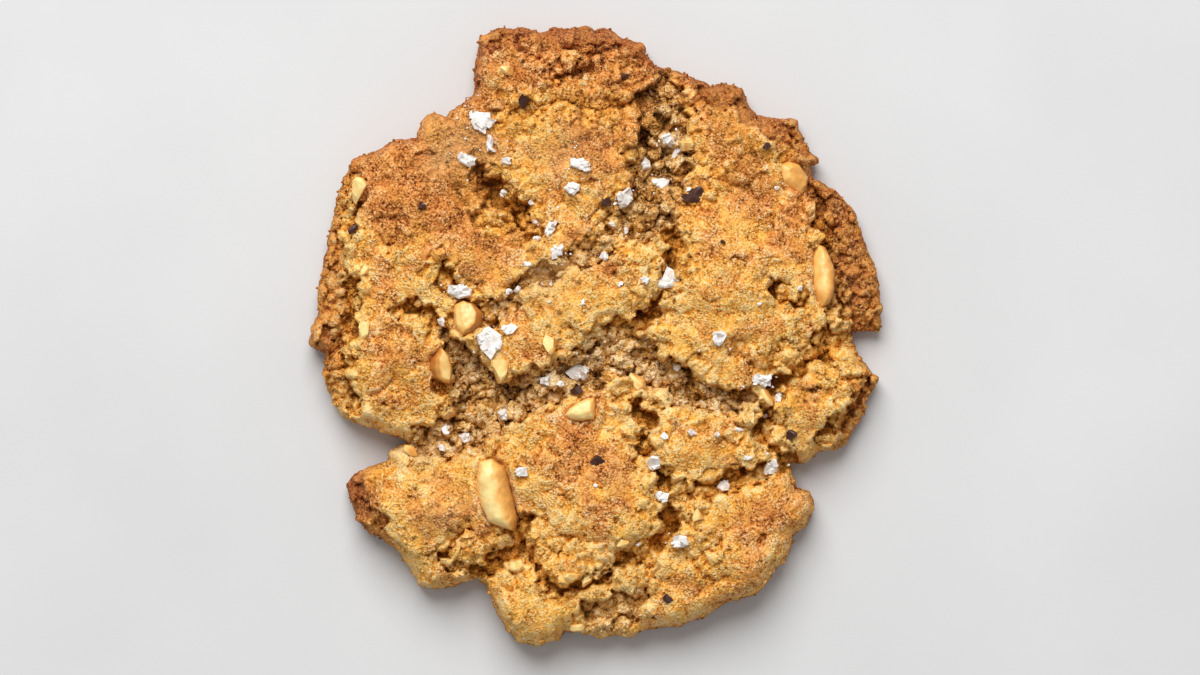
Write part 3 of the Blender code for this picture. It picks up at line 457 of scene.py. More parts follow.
def roundNuts(points):
    # dough rises to each large peanut piece in a low broken collar and lies lower under it: rise, and gap
    bed = {"collar": 0.7, "collarAt": (0.9, 0.7), "broken": (0.45, (1.2, 2.0, 37.0)), "beside": (0.1, 0.6),
           "gap": 0.5, "under": 1.6, "underWithin": 0.7}
    rise = np.zeros(len(points))
    gap = np.zeros(len(points))
    for nut in peanuts.values():
        outline = np.array([place(*corner) for corner in nut["outline"]])
        distance, _ = nearestOnEdge(outline, points)
        within = insideEdge(outline, points)
        middle, width = bed["collarAt"]
        collar = bed["collar"] * np.exp(-((distance - middle) / width) ** 2)
        collar *= bed["broken"][0] + ripple(points, bed["broken"][1])
        beside = 1.0 - ease(distance, *bed["beside"])
        sunk = -bed["gap"] - bed["under"] * ease(distance, 0.0, bed["underWithin"])
        rise += np.where(within, sunk, collar - bed["gap"] * beside)
        gap = np.maximum(gap, np.where(within, 1.0, beside))
    return rise, gap


def surfaceFields(edge):
    # every map of the baked top over one square grid of points
    reach = math.ceil(view["cookieLength"] / 2 + 2)
    count = round(2 * reach / cookie["step"]) + 1
    line = np.linspace(-reach, reach, count)
    points = np.stack(np.meshgrid(line, line, indexing="xy"), axis=-1).reshape(-1, 2)
    distance, _ = nearestOnEdge(edge, points)
    distance[~insideEdge(edge, points)] = 0.0

    rimWidth = cookie["rimRounding"] + ripple(points, cookie["rimRoundingChange"])
    rounding = np.sqrt(bulge(distance / rimWidth))
    doming = bulge(distance / cookie["domeReach"])
    crust = cookie["rimHeight"] - cookie["edgeHeight"]
    crust = crust + (cookie["centreHeight"] - cookie["rimHeight"]) * doming
    crust += humps(points, plates) + humps(points, knobs)
    crust += ripple(points, cookie["swell"]) + ripple(points, cookie["lump"])

    # cracks wander, and their sides break along the lumps of the dough
    wander = sum(np.stack([ripple(points, wave) for wave in cookie[name]], axis=1)
                 for name in ("crackWander", "fineWander"))
    strayed = points + wander
    lump, grain = cells(strayed, *cookie["lumps"]), cells(strayed, *cookie["grains"])
    toLump = lump.middle - strayed
    clump = cells(strayed + cookie["bend"]["clumps"] * toLump, *cookie["clumps"])
    follow = cookie["follow"]
    broken = strayed + follow["lumps"] * toLump + follow["grains"] * (grain.middle - strayed)
    broken += follow["clumps"] * (clump.middle - strayed)
    riftCut, riftNear, riftAside = carved(broken, rifts, *cookie["sides"]["rifts"])
    crackCut, crackNear, crackAside = carved(broken, cracks, *cookie["sides"]["cracks"])
    hairCut, _, _ = carved(broken, hairlines, *cookie["sides"]["hairlines"])
    footCut, _, _ = carved(broken, foot, *cookie["sides"]["foot"])
    # a crack gapes in some stretches and nearly closes in others, and a rift is deepest under its walls
    closed, gaping, where = cookie["gape"]
    crackCut *= closed + gaping * stretches(points, *where)
    deeper, middle, width, where = cookie["underWalls"]
    wall = np.exp(-((riftNear - middle) / width) ** 2) * stretches(points, *where)
    pocket = pocketed(broken)
    rift = np.clip(riftCut / cookie["tornAt"], 0.0, 1.0)
    riftCut = riftCut + deeper * wall
    crack = np.clip(np.maximum(crackCut, pocket) / cookie["tornAt"], 0.0, 1.0)
    smooth = np.clip(humps(points, smoothed), 0.0, 1.0)
    footing = np.clip(footCut / cookie["footAt"], 0.0, 1.0)
    ragged = 1.0 - ease(np.minimum(riftNear, crackNear / 2.0), *cookie["raggedWithin"])
    # parts of the crust baked smooth, others are crumbly
    crumbly = np.clip(relief["crumbly"][0] + ripple(points, relief["crumbly"][1]), 0.1, 1.0)
    share = relief["loose"]
    loose = np.maximum.reduce([rift, share["foot"] * footing, share["ragged"] * ragged,
                               share["crumbly"] * ease(crumbly, relief["crumbly"][0], 1.0)])
    loose *= 1.0 - share["smooth"] * smooth

    # torn dough lies in the rifts and on the foot as clods with gaps between them
    clod = cells(strayed + cookie["bend"]["clods"] * toLump, *cookie["clods"])
    roundness, levels, deep = relief["clod"]
    gaps = seam(clod, "clods")
    clods = (relief["rimLevel"]["clods"] - clod.near ** relief["roundness"]) * roundness
    clods = clods + levels * clod.lot - deep * gaps
    clods += relief["clodWave"][0] * ripple(points, relief["clodWave"][1])
    full, onFoot = relief["clodsOn"]
    crumbs = clods * np.maximum(np.clip(riftCut / full, 0.0, 1.0), onFoot * footing)
    # a plate bulges: it sinks in a round shoulder towards what bounds it
    shoulder = 1.0 - np.sqrt(bulge(np.minimum(riftAside, crackAside)))
    sunk = cookie["shoulder"][0] * shoulder * (1.0 - rift)
    crust = crust - sunk * (cookie["shoulderChange"][0] + ripple(points, cookie["shoulderChange"][1]))
    least, more = relief["crackLevels"]
    cut = np.maximum(riftCut, crackCut * (least + more * lump.lot)) + footCut
    cut = np.maximum(cut, pocket) + relief["overlap"] * np.minimum(cut, pocket)
    height = cookie["edgeHeight"] + rounding * np.maximum(crust + crumbs - cut, cookie["leastCrust"])

    # fine relief: lumps, each at its own level, sandy grain, hairlines and pits
    fine = 1.0 - relief["smoothness"] * smooth
    torn = loose ** relief["looseness"]
    grainy = np.clip(relief["grainy"][0] + ripple(points, relief["grainy"][1]), 0.1, 1.8)
    byRagged, low, high = relief["creasesOn"]
    crease = seam(clump, "clumps") * ease(crumbly + byRagged * ragged, low, high) * (1.0 - rift)
    split = seam(lump, "lumps") * torn * fine
    least, more = relief["grainGapsOn"]
    grainSplit = seam(grain, "grains") * (least + more * torn) * fine
    least, more = relief["lumpLevels"]
    fineLeast, fineMore = relief["grainLevels"]
    rough = lump.lot * (least + more * torn) + grain.lot * (fineLeast + fineMore * loose) * fine
    deep, lessInRift = relief["lumpGaps"]
    rough -= (deep - lessInRift * rift) * split + relief["grainGaps"] * grainSplit
    level, power = relief["rimLevel"]["lumps"], relief["roundness"]
    least, more = relief["lumpDomes"]
    rough += (level - lump.near ** power) * (least + more * loose) * fine
    least, more = relief["grainDomes"]
    rough += (level - grain.near ** power) * (least * grainy + more * loose) * fine
    roundness, levels, deep = relief["clump"]
    clumps = (relief["rimLevel"]["clumps"] - clump.near ** relief["clumpRoundness"]) * roundness
    least, more = relief["clumpsOn"]
    rough += (clumps + levels * clump.lot - deep * crease) * (least + more * crumbly) * fine
    rough += ripple(points, relief["grain"])
    gap = seam(cells(broken, *relief["hairlines"]), "hairlines")
    some = stretches(points, *relief["hairlineStretches"])
    rough -= relief["hairlineDepth"] * gap * some * (1.0 - rift)
    pit = cells(points, *relief["pits"])
    deep, low, high, none = relief["pit"]
    rough -= deep * (1.0 - ease(pit.near, low, high)) * (pit.lot > none)
    rough -= hairCut
    rise, besideNut = roundNuts(points)
    height += rough * np.clip(distance / relief["reliefWithin"], 0.1, 1.0) + rise

    shown, (middle, ofLump, ofGrain) = relief["shown"], relief["lots"]
    # crack, hair, crease and gaps also darken the dough's colour: painted shade in the recesses
    maps = {
        "distance": distance, "height": height, "rift": rift, "footing": footing, "ragged": ragged,
        "smooth": smooth, "lot": middle + ofLump * lump.lot + ofGrain * grain.lot,
        "crack": np.maximum(crack, shown["nutGap"] * besideNut),
        "hair": np.clip(hairCut + shown["hairline"] * gap * some, 0.0, 1.0),
        "crease": np.clip(split + shown["grainGap"] * grainSplit, 0.0, 1.0),
        "gaps": gaps * np.maximum(rift, shown["footGap"] * footing),
    }
    fields = {name: values.reshape(count, count) for name, values in maps.items()}
    fields.update({"reach": reach, "count": count, "points": points})
    return fields


def sampled(fields, name, points):
    # a map read between its grid points
    steps = (points + fields["reach"]) * ((fields["count"] - 1) / (2 * fields["reach"]))
    steps = np.clip(steps, 0, fields["count"] - 1.001)
    low = steps.astype(int)
    part = steps - low
    values = fields[name]
    x, y = low[:, 0], low[:, 1]
    bottom = values[y, x] * (1 - part[:, 0]) + values[y, x + 1] * part[:, 0]
    top = values[y + 1, x] * (1 - part[:, 0]) + values[y + 1, x + 1] * part[:, 0]
    return bottom * (1 - part[:, 1]) + top * part[:, 1]


def hollowness(values, rounds, depth):
    # how far each point of a square map lies below a soft copy of the map, in the given depths
    soft = values.copy()
    for _ in range(rounds):
        for axis in (0, 1):
            soft = 0.5 * soft + 0.25 * (np.roll(soft, 1, axis) + np.roll(soft, -1, axis))
    return np.clip((soft - values) / depth, -1.0, 1.0)


def addTone(fields):
    # maps that only colour: browning with some painted light, and hollows against their surroundings, whose
    # darkening is painted shade
    look = {"brownWaves": ((0.55, 6.0, 61.0), (0.5, 2.6, 67.0)), "yellowWave": (0.6, 4.2, 103.0),
            "hollowShade": (22, 1.6), "cavityShade": (3, 0.22), "leastCharred": 0.15, "border": (0.2, 1.4),
            "browning": (0.15, 0.4), "rim": (0.8, 0.3, 2.6)}
    points, distance = fields["points"], fields["distance"]
    square = fields["height"].shape
    # the table's entries below zero also lighten walls that lie in shade: painted light
    brownAndPaintedLight = humps(points, brownedAndPaintedLight)
    for wave in look["brownWaves"]:
        brownAndPaintedLight = brownAndPaintedLight + ripple(points, wave)
    yellow = humps(points, golden) + ripple(points, look["yellowWave"])
    fields["golden"] = np.clip(yellow.reshape(square), 0.0, 1.0)
    more, lessTorn = look["browning"]
    fields["brownAndPaintedLight"] = np.clip(brownAndPaintedLight.reshape(square) - lessTorn * fields["ragged"] + more, -0.3, 1.0)
    # how far each point lies below its surroundings, later painted darker as shade
    for name in ("hollowShade", "cavityShade"):
        fields[name] = hollowness(fields["height"], *look[name])
    fields["charred"] = np.clip(humps(points, charred), look["leastCharred"], 1.0).reshape(square)
    fields["border"] = 1.0 - ease(distance, *look["border"])
    share, low, high = look["rim"]
    rim = fields["footing"] + share * (1.0 - ease(distance, low, high))
    fields["rim"] = np.clip(fields["charred"] * rim, 0.0, 1.0)


def linear(hexColour):
    # sRGB hex to the linear values that a shader takes
    values = [int(hexColour[i:i + 2], 16) / 255 for i in (1, 3, 5)]
    return tuple(v / 12.92 if v <= 0.04045 else ((v + 0.055) / 1.055) ** 2.4 for v in values) + (1.0,)


def addNode(tree, kind, inputs=None, **settings):
    node = tree.nodes.new(kind)
    for name, value in settings.items():
        setattr(node, name, value)
    for name, value in (inputs or {}).items():
        if isinstance(value, bpy.types.NodeSocket):
            tree.links.new(value, node.inputs[name])
        else:
            node.inputs[name].default_value = value
    return node


def newMaterial(name, constants):
    made = bpy.data.materials.new(name)
    made.use_nodes = True
    shader = made.node_tree.nodes["Principled BSDF"]
    for socket, value in constants.items():
        shader.inputs[socket].default_value = value
    return made, made.node_tree, shader


def setStops(ramp, stops):
    elements = ramp.color_ramp.elements
    while len(elements) < len(stops):
        elements.new(0.5)
    for element, (position, colour) in zip(elements, stops):
        element.position = position
        element.color = linear(colour)
    return ramp.outputs["Color"]


def bakedCrust():
    # Baked sugar-cookie crust: dull and granular. Ramps run from burnt to cream, so what is darker is redder
    # too, the painted shade in recesses as well.
    # Torn dough is golden, browned crust rosy, the rifts a darker olive, the foot red brown.
    look = {
        "stops": (0.0, 0.18, 0.36, 0.54, 0.70, 0.85, 1.0),
        "golden": ("#3E1A06", "#8E4A10", "#C47726", "#E6993A", "#F7B350", "#FDC970", "#FFDE9E"),
        "rosy": ("#401A0A", "#8A461C", "#BC7034", "#DE904A", "#F2AC68", "#FCC88E", "#FFE2BC"),
        "olive": ("#301C0A", "#744E22", "#A6743C", "#CC9850", "#E2B46C", "#F0CC90", "#FFE6C4"),
        # pattern length in mm, detail and roughness
        "clouds": {"patch": (3.2, 5.0, 0.68), "sand": (0.42, 3.0, 0.75), "uneven": (2.2, 3.0, 0.5),
                   "hue": (4.0, 4.0, 0.6), "bend": (0.9, 3.0, 0.5)},
        "bendBy": 0.0005, "granuleMm": 0.42, "sandier": (0.35, 0.65, 0.45, 1.35),
        "patch": 0.6, "sand": 1.5, "granule": -0.75,
        # dark pores, a painted shade, and pale sugar crystals, partly a painted highlight for their glints:
        # length in mm, share and width
        "spots": ((1.25, -0.27, 0.22), (1.7, 0.36, 0.12)),
        "hue": 1.4, "rosyBetween": (0.75, 1.45),
        "shares": {"rosy": 0.9, "olive": 0.7, "yellow": 0.4, "butter": 0.6, "red": 0.4},
        "yellow": "#FDBE50", "butter": "#D6AC70", "red": "#AC6440",
        "sandHeight": 1.7, "granuleHeight": -1.2, "reliefM": 0.00024,
    }
    made, tree, shader = newMaterial("bakedCrust", {"Roughness": 0.78, "Specular IOR Level": 0.14})
    coords = addNode(tree, "ShaderNodeTexCoord").outputs["Object"]
    channels = {}
    for name in ("tone", "touch"):
        stored = addNode(tree, "ShaderNodeAttribute", attribute_name=name).outputs["Color"]
        channels[name] = addNode(tree, "ShaderNodeSeparateColor", {"Color": stored}).outputs
    value, crumb, rim = (channels["tone"][i] for i in range(3))
    yellow, smooth, brownAndPaintedLight = (channels["touch"][i] for i in range(3))
    clouds = {}
    for name, (length, detail, roughness) in look["clouds"].items():
        clouds[name] = addNode(tree, "ShaderNodeTexNoise", {
            "Vector": coords, "Scale": 1000 / length, "Detail": detail, "Roughness": roughness}).outputs
    bent = addNode(tree, "ShaderNodeVectorMath", {
        0: clouds["bend"]["Color"], 1: (look["bendBy"],) * 3, 2: coords}, operation="MULTIPLY_ADD").outputs[0]
    granule = addNode(tree, "ShaderNodeTexVoronoi", {
        "Vector": bent, "Scale": 1000 / look["granuleMm"]}, feature="F1").outputs["Distance"]

    # sand and granules, in some stretches more than in others; the gaps between granules are painted darker, a
    # painted shade where their relief sinks
    low, high, least, most = look["sandier"]
    uneven = addNode(tree, "ShaderNodeMapRange", {
        "Value": clouds["uneven"]["Fac"], "From Min": low, "From Max": high, "To Min": least, "To Max": most,
    }).outputs[0]
    grains = {}
    for name, pattern in (("sand", clouds["sand"]["Fac"]), ("granule", granule)):
        centred = addNode(tree, "ShaderNodeMath", {0: pattern, 1: -0.5}, operation="ADD").outputs[0]
        grains[name] = addNode(tree, "ShaderNodeMath", {0: centred, 1: uneven}, operation="MULTIPLY").outputs[0]
    # granule gaps take a darker value here: painted shade
    for name, pattern in (*grains.items(), ("patch", clouds["patch"]["Fac"])):
        value = addNode(tree, "ShaderNodeMath", {
            0: pattern, 1: look[name], 2: value}, operation="MULTIPLY_ADD").outputs[0]
    # dark pores are painted shade, pale specks sugar with painted glints
    for length, share, wide in look["spots"]:
        spot = addNode(tree, "ShaderNodeTexVoronoi", {
            "Vector": bent, "Scale": 1000 / length}, feature="F1").outputs["Distance"]
        spot = addNode(tree, "ShaderNodeMapRange", {
            "Value": spot, "From Min": 0.4 * wide, "From Max": wide, "To Min": share, "To Max": 0.0}).outputs[0]
        value = addNode(tree, "ShaderNodeMath", {0: spot, 1: value}, operation="ADD").outputs[0]

    ramps = {}
    for name in ("golden", "rosy", "olive"):
        ramp = addNode(tree, "ShaderNodeValToRGB", {"Fac": value})
        ramps[name] = setStops(ramp, list(zip(look["stops"], look[name])))
    hue = addNode(tree, "ShaderNodeMath", {
        0: clouds["hue"]["Fac"], 1: look["hue"], 2: brownAndPaintedLight}, operation="MULTIPLY_ADD").outputs[0]
    low, high = look["rosyBetween"]
    rosy = addNode(tree, "ShaderNodeMapRange", {"Value": hue, "From Min": low, "From Max": high}).outputs[0]
    base = ramps["golden"]
    for name, amount in (
            ("rosy", rosy), ("olive", crumb), ("yellow", yellow), ("butter", smooth), ("red", rim)):
        colour = ramps[name] if name in ramps else linear(look[name])
        factor = addNode(tree, "ShaderNodeMath", {
            0: amount, 1: look["shares"][name]}, operation="MULTIPLY").outputs[0]
        base = addNode(tree, "ShaderNodeMix", {0: factor, 6: base, 7: colour}, data_type="RGBA").outputs[2]
    tree.links.new(base, shader.inputs["Base Color"])

    height = addNode(tree, "ShaderNodeMath", {
        0: grains["sand"], 1: look["sandHeight"]}, operation="MULTIPLY").outputs[0]
    height = addNode(tree, "ShaderNodeMath", {
        0: grains["granule"], 1: look["granuleHeight"], 2: height}, operation="MULTIPLY_ADD").outputs[0]
    bump = addNode(tree, "ShaderNodeBump", {"Height": height, "Strength": 1.0, "Distance": look["reliefM"]})
    tree.links.new(bump.outputs["Normal"], shader.inputs["Normal"])
    return made


# Materials of one cloudy colour: the cloud's length in mm, detail and roughness, and the ramp's stops. Relief
# has its own cloud, with strength and depth in metres. "low" is the cloud's share beside the attribute low.
plainLooks = {
    # skinned, dry roasted peanut: waxy and smooth, pale yellow, darker by the attribute low: toasting, and
    # painted shade on its sides
    "roastedPeanut": {
        "cloud": (2.0, 5.0, 0.6), "low": 0.6, "relief": (0.9, 3.0, 0.5, 0.5, 0.00015),
        "stops": ((0.24, "#FFE69C"), (0.54, "#F2B25A"), (0.85, "#BE7632")),
        "constants": {
            "Roughness": 0.36, "Subsurface Weight": 0.12, "Subsurface Radius": (0.0012, 0.0007, 0.0003)}},
    # dark chocolate bloomed a little by the oven: nearly black brown, satin
    "darkChocolate": {
        "cloud": (1.2, 3.0, 0.5), "stops": ((0.5, "#3E1E12"), (0.8, "#6A4034")),
        "constants": {"Roughness": 0.4}},
    # flaky sea salt: thin frosted crystals, white with grey where they are thin
    "flakySalt": {
        "cloud": (1.4, 3.0, 0.5), "stops": ((0.38, "#E9DED6"), (0.55, "#FFFCF7")),
        "relief": (1.4, 3.0, 0.5, 0.3, 0.00005), "constants": {"Roughness": 0.24, "Transmission Weight": 0.1}},
    # matt painted board, pale grey
    "paintedBoard": {
        "cloud": (60.0, 5.0, 0.5), "stops": ((0.3, "#D1D1D1"), (0.7, "#D8D8D8")),
        "constants": {"Roughness": 0.6, "Specular IOR Level": 0.2}},
}


def plainMaterial(name):
    look = plainLooks[name]
    made, tree, shader = newMaterial(name, look["constants"])
    coords = addNode(tree, "ShaderNodeTexCoord").outputs["Object"]
    clouds = {}
    for part in ("cloud", "relief"):
        if part in look:
            length, detail, roughness = look[part][:3]
            cloud = addNode(tree, "ShaderNodeTexNoise", {
                "Vector": coords, "Scale": 1000 / length, "Detail": detail, "Roughness": roughness})
            clouds[part] = cloud.outputs["Fac"]
    value = clouds["cloud"]
    if "low" in look:
        low = addNode(tree, "ShaderNodeAttribute", attribute_name="low").outputs["Fac"]
        value = addNode(tree, "ShaderNodeMath", {
            0: value, 1: look["low"], 2: low}, operation="MULTIPLY_ADD").outputs[0]
    colour = setStops(addNode(tree, "ShaderNodeValToRGB", {"Fac": value}), look["stops"])
    tree.links.new(colour, shader.inputs["Base Color"])
    if "relief" in look:
        strength, depth = look["relief"][3:]
        bump = addNode(tree, "ShaderNodeBump", {
            "Height": clouds["relief"], "Strength": strength, "Distance": depth})
        tree.links.new(bump.outputs["Normal"], shader.inputs["Normal"])
    return made


def markLow(mesh, toast=0.0, flankShade=0.3):
    # how dark each point of a nut is: its toasting, and painted shade on its lower sides and on the right
    # flank, or the left below zero
    look = {"low": 0.16, "lowUnder": 0.75, "flankFrom": -0.2, "flankTo": 0.75}
    coords = np.empty(len(mesh.vertices) * 3)
    mesh.vertices.foreach_get("normal", coords)
    side, up = coords.reshape(-1, 3)[:, 0] * np.sign(flankShade), coords.reshape(-1, 3)[:, 2]
    low = toast + look["low"] * (1.0 - ease(up, 0.0, look["lowUnder"]))
    low = low + abs(flankShade) * ease(side, look["flankFrom"], look["flankTo"])
    mesh.attributes.new(name="low", type="FLOAT", domain="POINT").data.foreach_set("value", low)


def linked(name, data):
    made = bpy.data.objects.new(name, data)
    bpy.context.scene.collection.objects.link(made)
    return made


def finishPiece(name, mesh, material, replaced=()):
    mesh.materials.clear()
    mesh.materials.append(material)
    piece = linked(name, mesh)
    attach(piece, "root")
    if replaced:
        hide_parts(*replaced)


def bareMesh(bm, name):
    mesh = bpy.data.meshes.new(name)
    bm.to_mesh(mesh)
    bm.free()
    return mesh


def meshFrom(bm, name, smoothness=None):
    # a finished bmesh, in mm, as a mesh in metres
    bmesh.ops.recalc_face_normals(bm, faces=bm.faces)
    bmesh.ops.scale(bm, vec=(0.001, 0.001, 0.001), verts=bm.verts)
    mesh = bareMesh(bm, name)
    mesh.shade_smooth()
    if smoothness:
        mesh.set_sharp_from_angle(angle=math.radians(smoothness))
    return mesh


def onFloor(verts):
    for vert in verts:
        vert.co.z = max(vert.co.z, 0.0)


# How pale the dough is: plain, and what each map adds. Hollows, cavities, cracks, gaps, creases and hairlines
# darken it: painted shade in the recesses
paleness = {
    "plain": 0.484, "rift": 0.03, "brownAndPaintedLight": -0.33, "rim": -0.12, "burnt": -0.18, "lot": 0.16, "hollowShade": -0.32,
    "hair": -0.18, "crack": -0.3, "gaps": -0.12, "cavityShade": -0.16, "crease": -0.2, "under": 0.2,
}


def paint(mesh, fields, lots=None):
    # tone: how pale the dough is, with painted shade in recesses, how much it is torn crumb, how much rim.
    # touch: yellow, smooth, brown with some painted light
    look = {"facingDown": (0.2, 0.7), "lowDown": (1.0, 6.0), "lowRim": (0.2, 0.5), "burntWithin": (0.1, 1.5),
            "burntLots": (0.2, 0.7), "deepHollow": (0.3, 1.0), "lessInRift": 0.7, "openCrack": (0.3, 1.0),
            "raggedYellow": 0.7, "brownUnder": 0.5}
    points = {}
    for name in ("co", "normal"):
        found = np.empty(len(mesh.vertices) * 3)
        mesh.vertices.foreach_get(name, found)
        points[name] = found.reshape(-1, 3)
    coords = points["co"] * 1000
    maps = {name: sampled(fields, name, coords[:, :2]) for name in (
        "brownAndPaintedLight", "rift", "crack", "rim", "charred", "distance", "hollowShade", "cavityShade", "hair", "crease", "ragged",
        "golden", "smooth", "lot", "gaps")}
    under = ease(-points["normal"][:, 2], *look["facingDown"])
    top = 1.0 - under
    low = 1.0 - ease(coords[:, 2], *look["lowDown"])
    lot = maps["lot"] if lots is None else lots
    least, more = look["lowRim"]
    rim = np.clip(np.maximum(maps["rim"], low * (least + more * maps["charred"])), 0.0, 1.0)
    burnt = (1.0 - ease(maps["distance"], *look["burntWithin"])) * ease(lot, *look["burntLots"])
    # hollows, cavities, cracks, gaps, creases and hairlines lower the tone: painted shade
    shares = {
        "rift": maps["rift"], "brownAndPaintedLight": maps["brownAndPaintedLight"], "rim": rim, "lot": lot - 0.5, "hair": maps["hair"],
        "burnt": burnt * maps["charred"], "gaps": maps["gaps"],
        "hollowShade": ease(maps["hollowShade"], *look["deepHollow"]) * (1.0 - look["lessInRift"] * maps["rift"]),
        "crack": ease(maps["crack"], *look["openCrack"]),
    }
    if lots is None:
        shares.update({name: maps[name] for name in ("cavityShade", "crease")})
    tone = paleness["plain"] + sum(paleness[name] * share for name, share in shares.items())
    yellow = look["raggedYellow"] * maps["ragged"] * (1.0 - maps["rift"]) * (1.0 - maps["charred"])
    yellow = np.maximum(maps["golden"], yellow)
    plain = paleness["under"] * (1.0 + (lot - 0.5))
    stored = {
        "tone": (top * tone + under * plain, maps["rift"] * top, rim * top),
        "touch": (yellow * top, maps["smooth"] * top, maps["brownAndPaintedLight"] * top + look["brownUnder"] * under),
    }
    for name, channels in stored.items():
        attribute = mesh.color_attributes.new(name=name, type="FLOAT_COLOR", domain="POINT")
        values = np.stack([*channels, np.ones_like(under)], axis=1)
        attribute.data.foreach_set("color", np.clip(values, 0.0, 1.0).ravel())


def dropCornerContacts(bm):
    # points where two stretches of faces touch at a corner only, and loose points
    while True:
        pinched = [v for v in bm.verts if sum(e.is_boundary for e in v.link_edges) > 2]
        loose = [v for v in bm.verts if not v.link_faces]
        if not pinched and not loose:
            return
        bmesh.ops.delete(bm, geom=pinched + loose, context="VERTS")


def undersideHeights(fields, plan):
    # flat, turned up at the edge, with a few shallow blisters
    inward = np.clip(sampled(fields, "distance", plan) / cookie["undersideRounding"], 0.0, 1.0)
    turnUp = (cookie["edgeHeight"] - cookie["edgeBand"]) * (1.0 - np.sqrt(bulge(inward)))
    blisters = cells(plan, *cookie["blisters"])
    deep, low, high, none = cookie["blister"]
    blister = deep * (1.0 - ease(blisters.near, low, high)) * (blisters.lot > none)
    return turnUp + (blister + np.maximum(ripple(plan, cookie["undersideWave"]), 0.0)) * inward


def cookieBody(fields, edge, material):
    bm = bmesh.new()
    segments = fields["count"] - 1
    bmesh.ops.create_grid(bm, x_segments=segments, y_segments=segments, size=fields["reach"])
    kept = insideEdge(edge, np.array([v.co.xy for v in bm.verts]))
    bmesh.ops.delete(bm, geom=[v for v, keep in zip(bm.verts, kept) if not keep], context="VERTS")
    dropCornerContacts(bm)
    border = [v for v in bm.verts if v.is_boundary]
    plan = np.array([v.co.xy for v in border])
    _, spots = nearestOnEdge(edge, plan)
    for vert, spot in zip(border, plan + cookie["borderPull"] * (spots - plan)):
        vert.co.xy = spot

    below = list(bm.verts)
    raised = bmesh.ops.extrude_face_region(bm, geom=bm.faces[:], use_keep_orig=True)
    top = [item for item in raised["geom"] if isinstance(item, bmesh.types.BMVert)]
    plan = np.array([v.co.xy for v in top])
    for vert, z in zip(top, sampled(fields, "height", plan)):
        vert.co.z = z
    plan = np.array([v.co.xy for v in below])
    for vert, z in zip(below, undersideHeights(fields, plan)):
        vert.co.z = z
    print("cookie: sheet", len(bm.verts), "points")

    # steep walls get more points, so that they can be rough too
    bmesh.ops.triangulate(bm, faces=bm.faces)
    for _ in range(3):
        steep = [e for e in bm.edges if e.calc_length() > cookie["longEdge"] * cookie["step"]]
        bmesh.ops.subdivide_edges(bm, edges=steep, cuts=1)
        bmesh.ops.triangulate(bm, faces=[f for f in bm.faces if len(f.verts) > 3])
    bmesh.ops.recalc_face_normals(bm, faces=bm.faces)
    bm.normal_update()
    coords = np.array([v.co for v in bm.verts])
    normals = np.array([v.normal for v in bm.verts])
    wall = ease(1.0 - np.abs(normals[:, 2]), 0.2, 0.7)
    rough = 0.0
    for (amount, length), where in ((cookie["wallRough"], wall), (cookie["skinRough"], 1.0)):
        rough = rough + np.array([noise.noise(Vector(c) / length) for c in coords]) * amount * where
    flat = normals[:, 2] < cookie["downFacing"]
    rough[flat] = 0.0
    for vert, push, normal in zip(bm.verts, rough, normals):
        vert.co += Vector(normal * push)
    onFloor(bm.verts)
    total = len(bm.faces)
    print("cookie: walls refined,", total, "triangles")

    # the flat underside is thinned first, then what is flattest of the rest
    helper = linked("cookieBody", meshFrom(bm, "cookieBody"))
    underside = helper.vertex_groups.new(name="underside")
    underside.add([int(i) for i in np.nonzero(flat)[0]], 1.0, "REPLACE")
    for group in ("underside", ""):
        thinning = helper.modifiers.new("thinning", "DECIMATE")
        thinning.ratio = min(1.0, cookie["triangles"] / total)
        thinning.vertex_group = group
        bpy.context.view_layer.update()
        thinned = helper.evaluated_get(bpy.context.evaluated_depsgraph_get())
        total = len(thinned.data.polygons)
    finished = bpy.data.meshes.new_from_object(thinned)
    bpy.data.objects.remove(helper)
    onFloor(finished.vertices)
    finished.name = "cookieBody"
    paint(finished, fields)
    print("cookie: finished with", len(finished.polygons), "triangles")
    finishPiece("cookie_body", finished, material, ("cookie",))


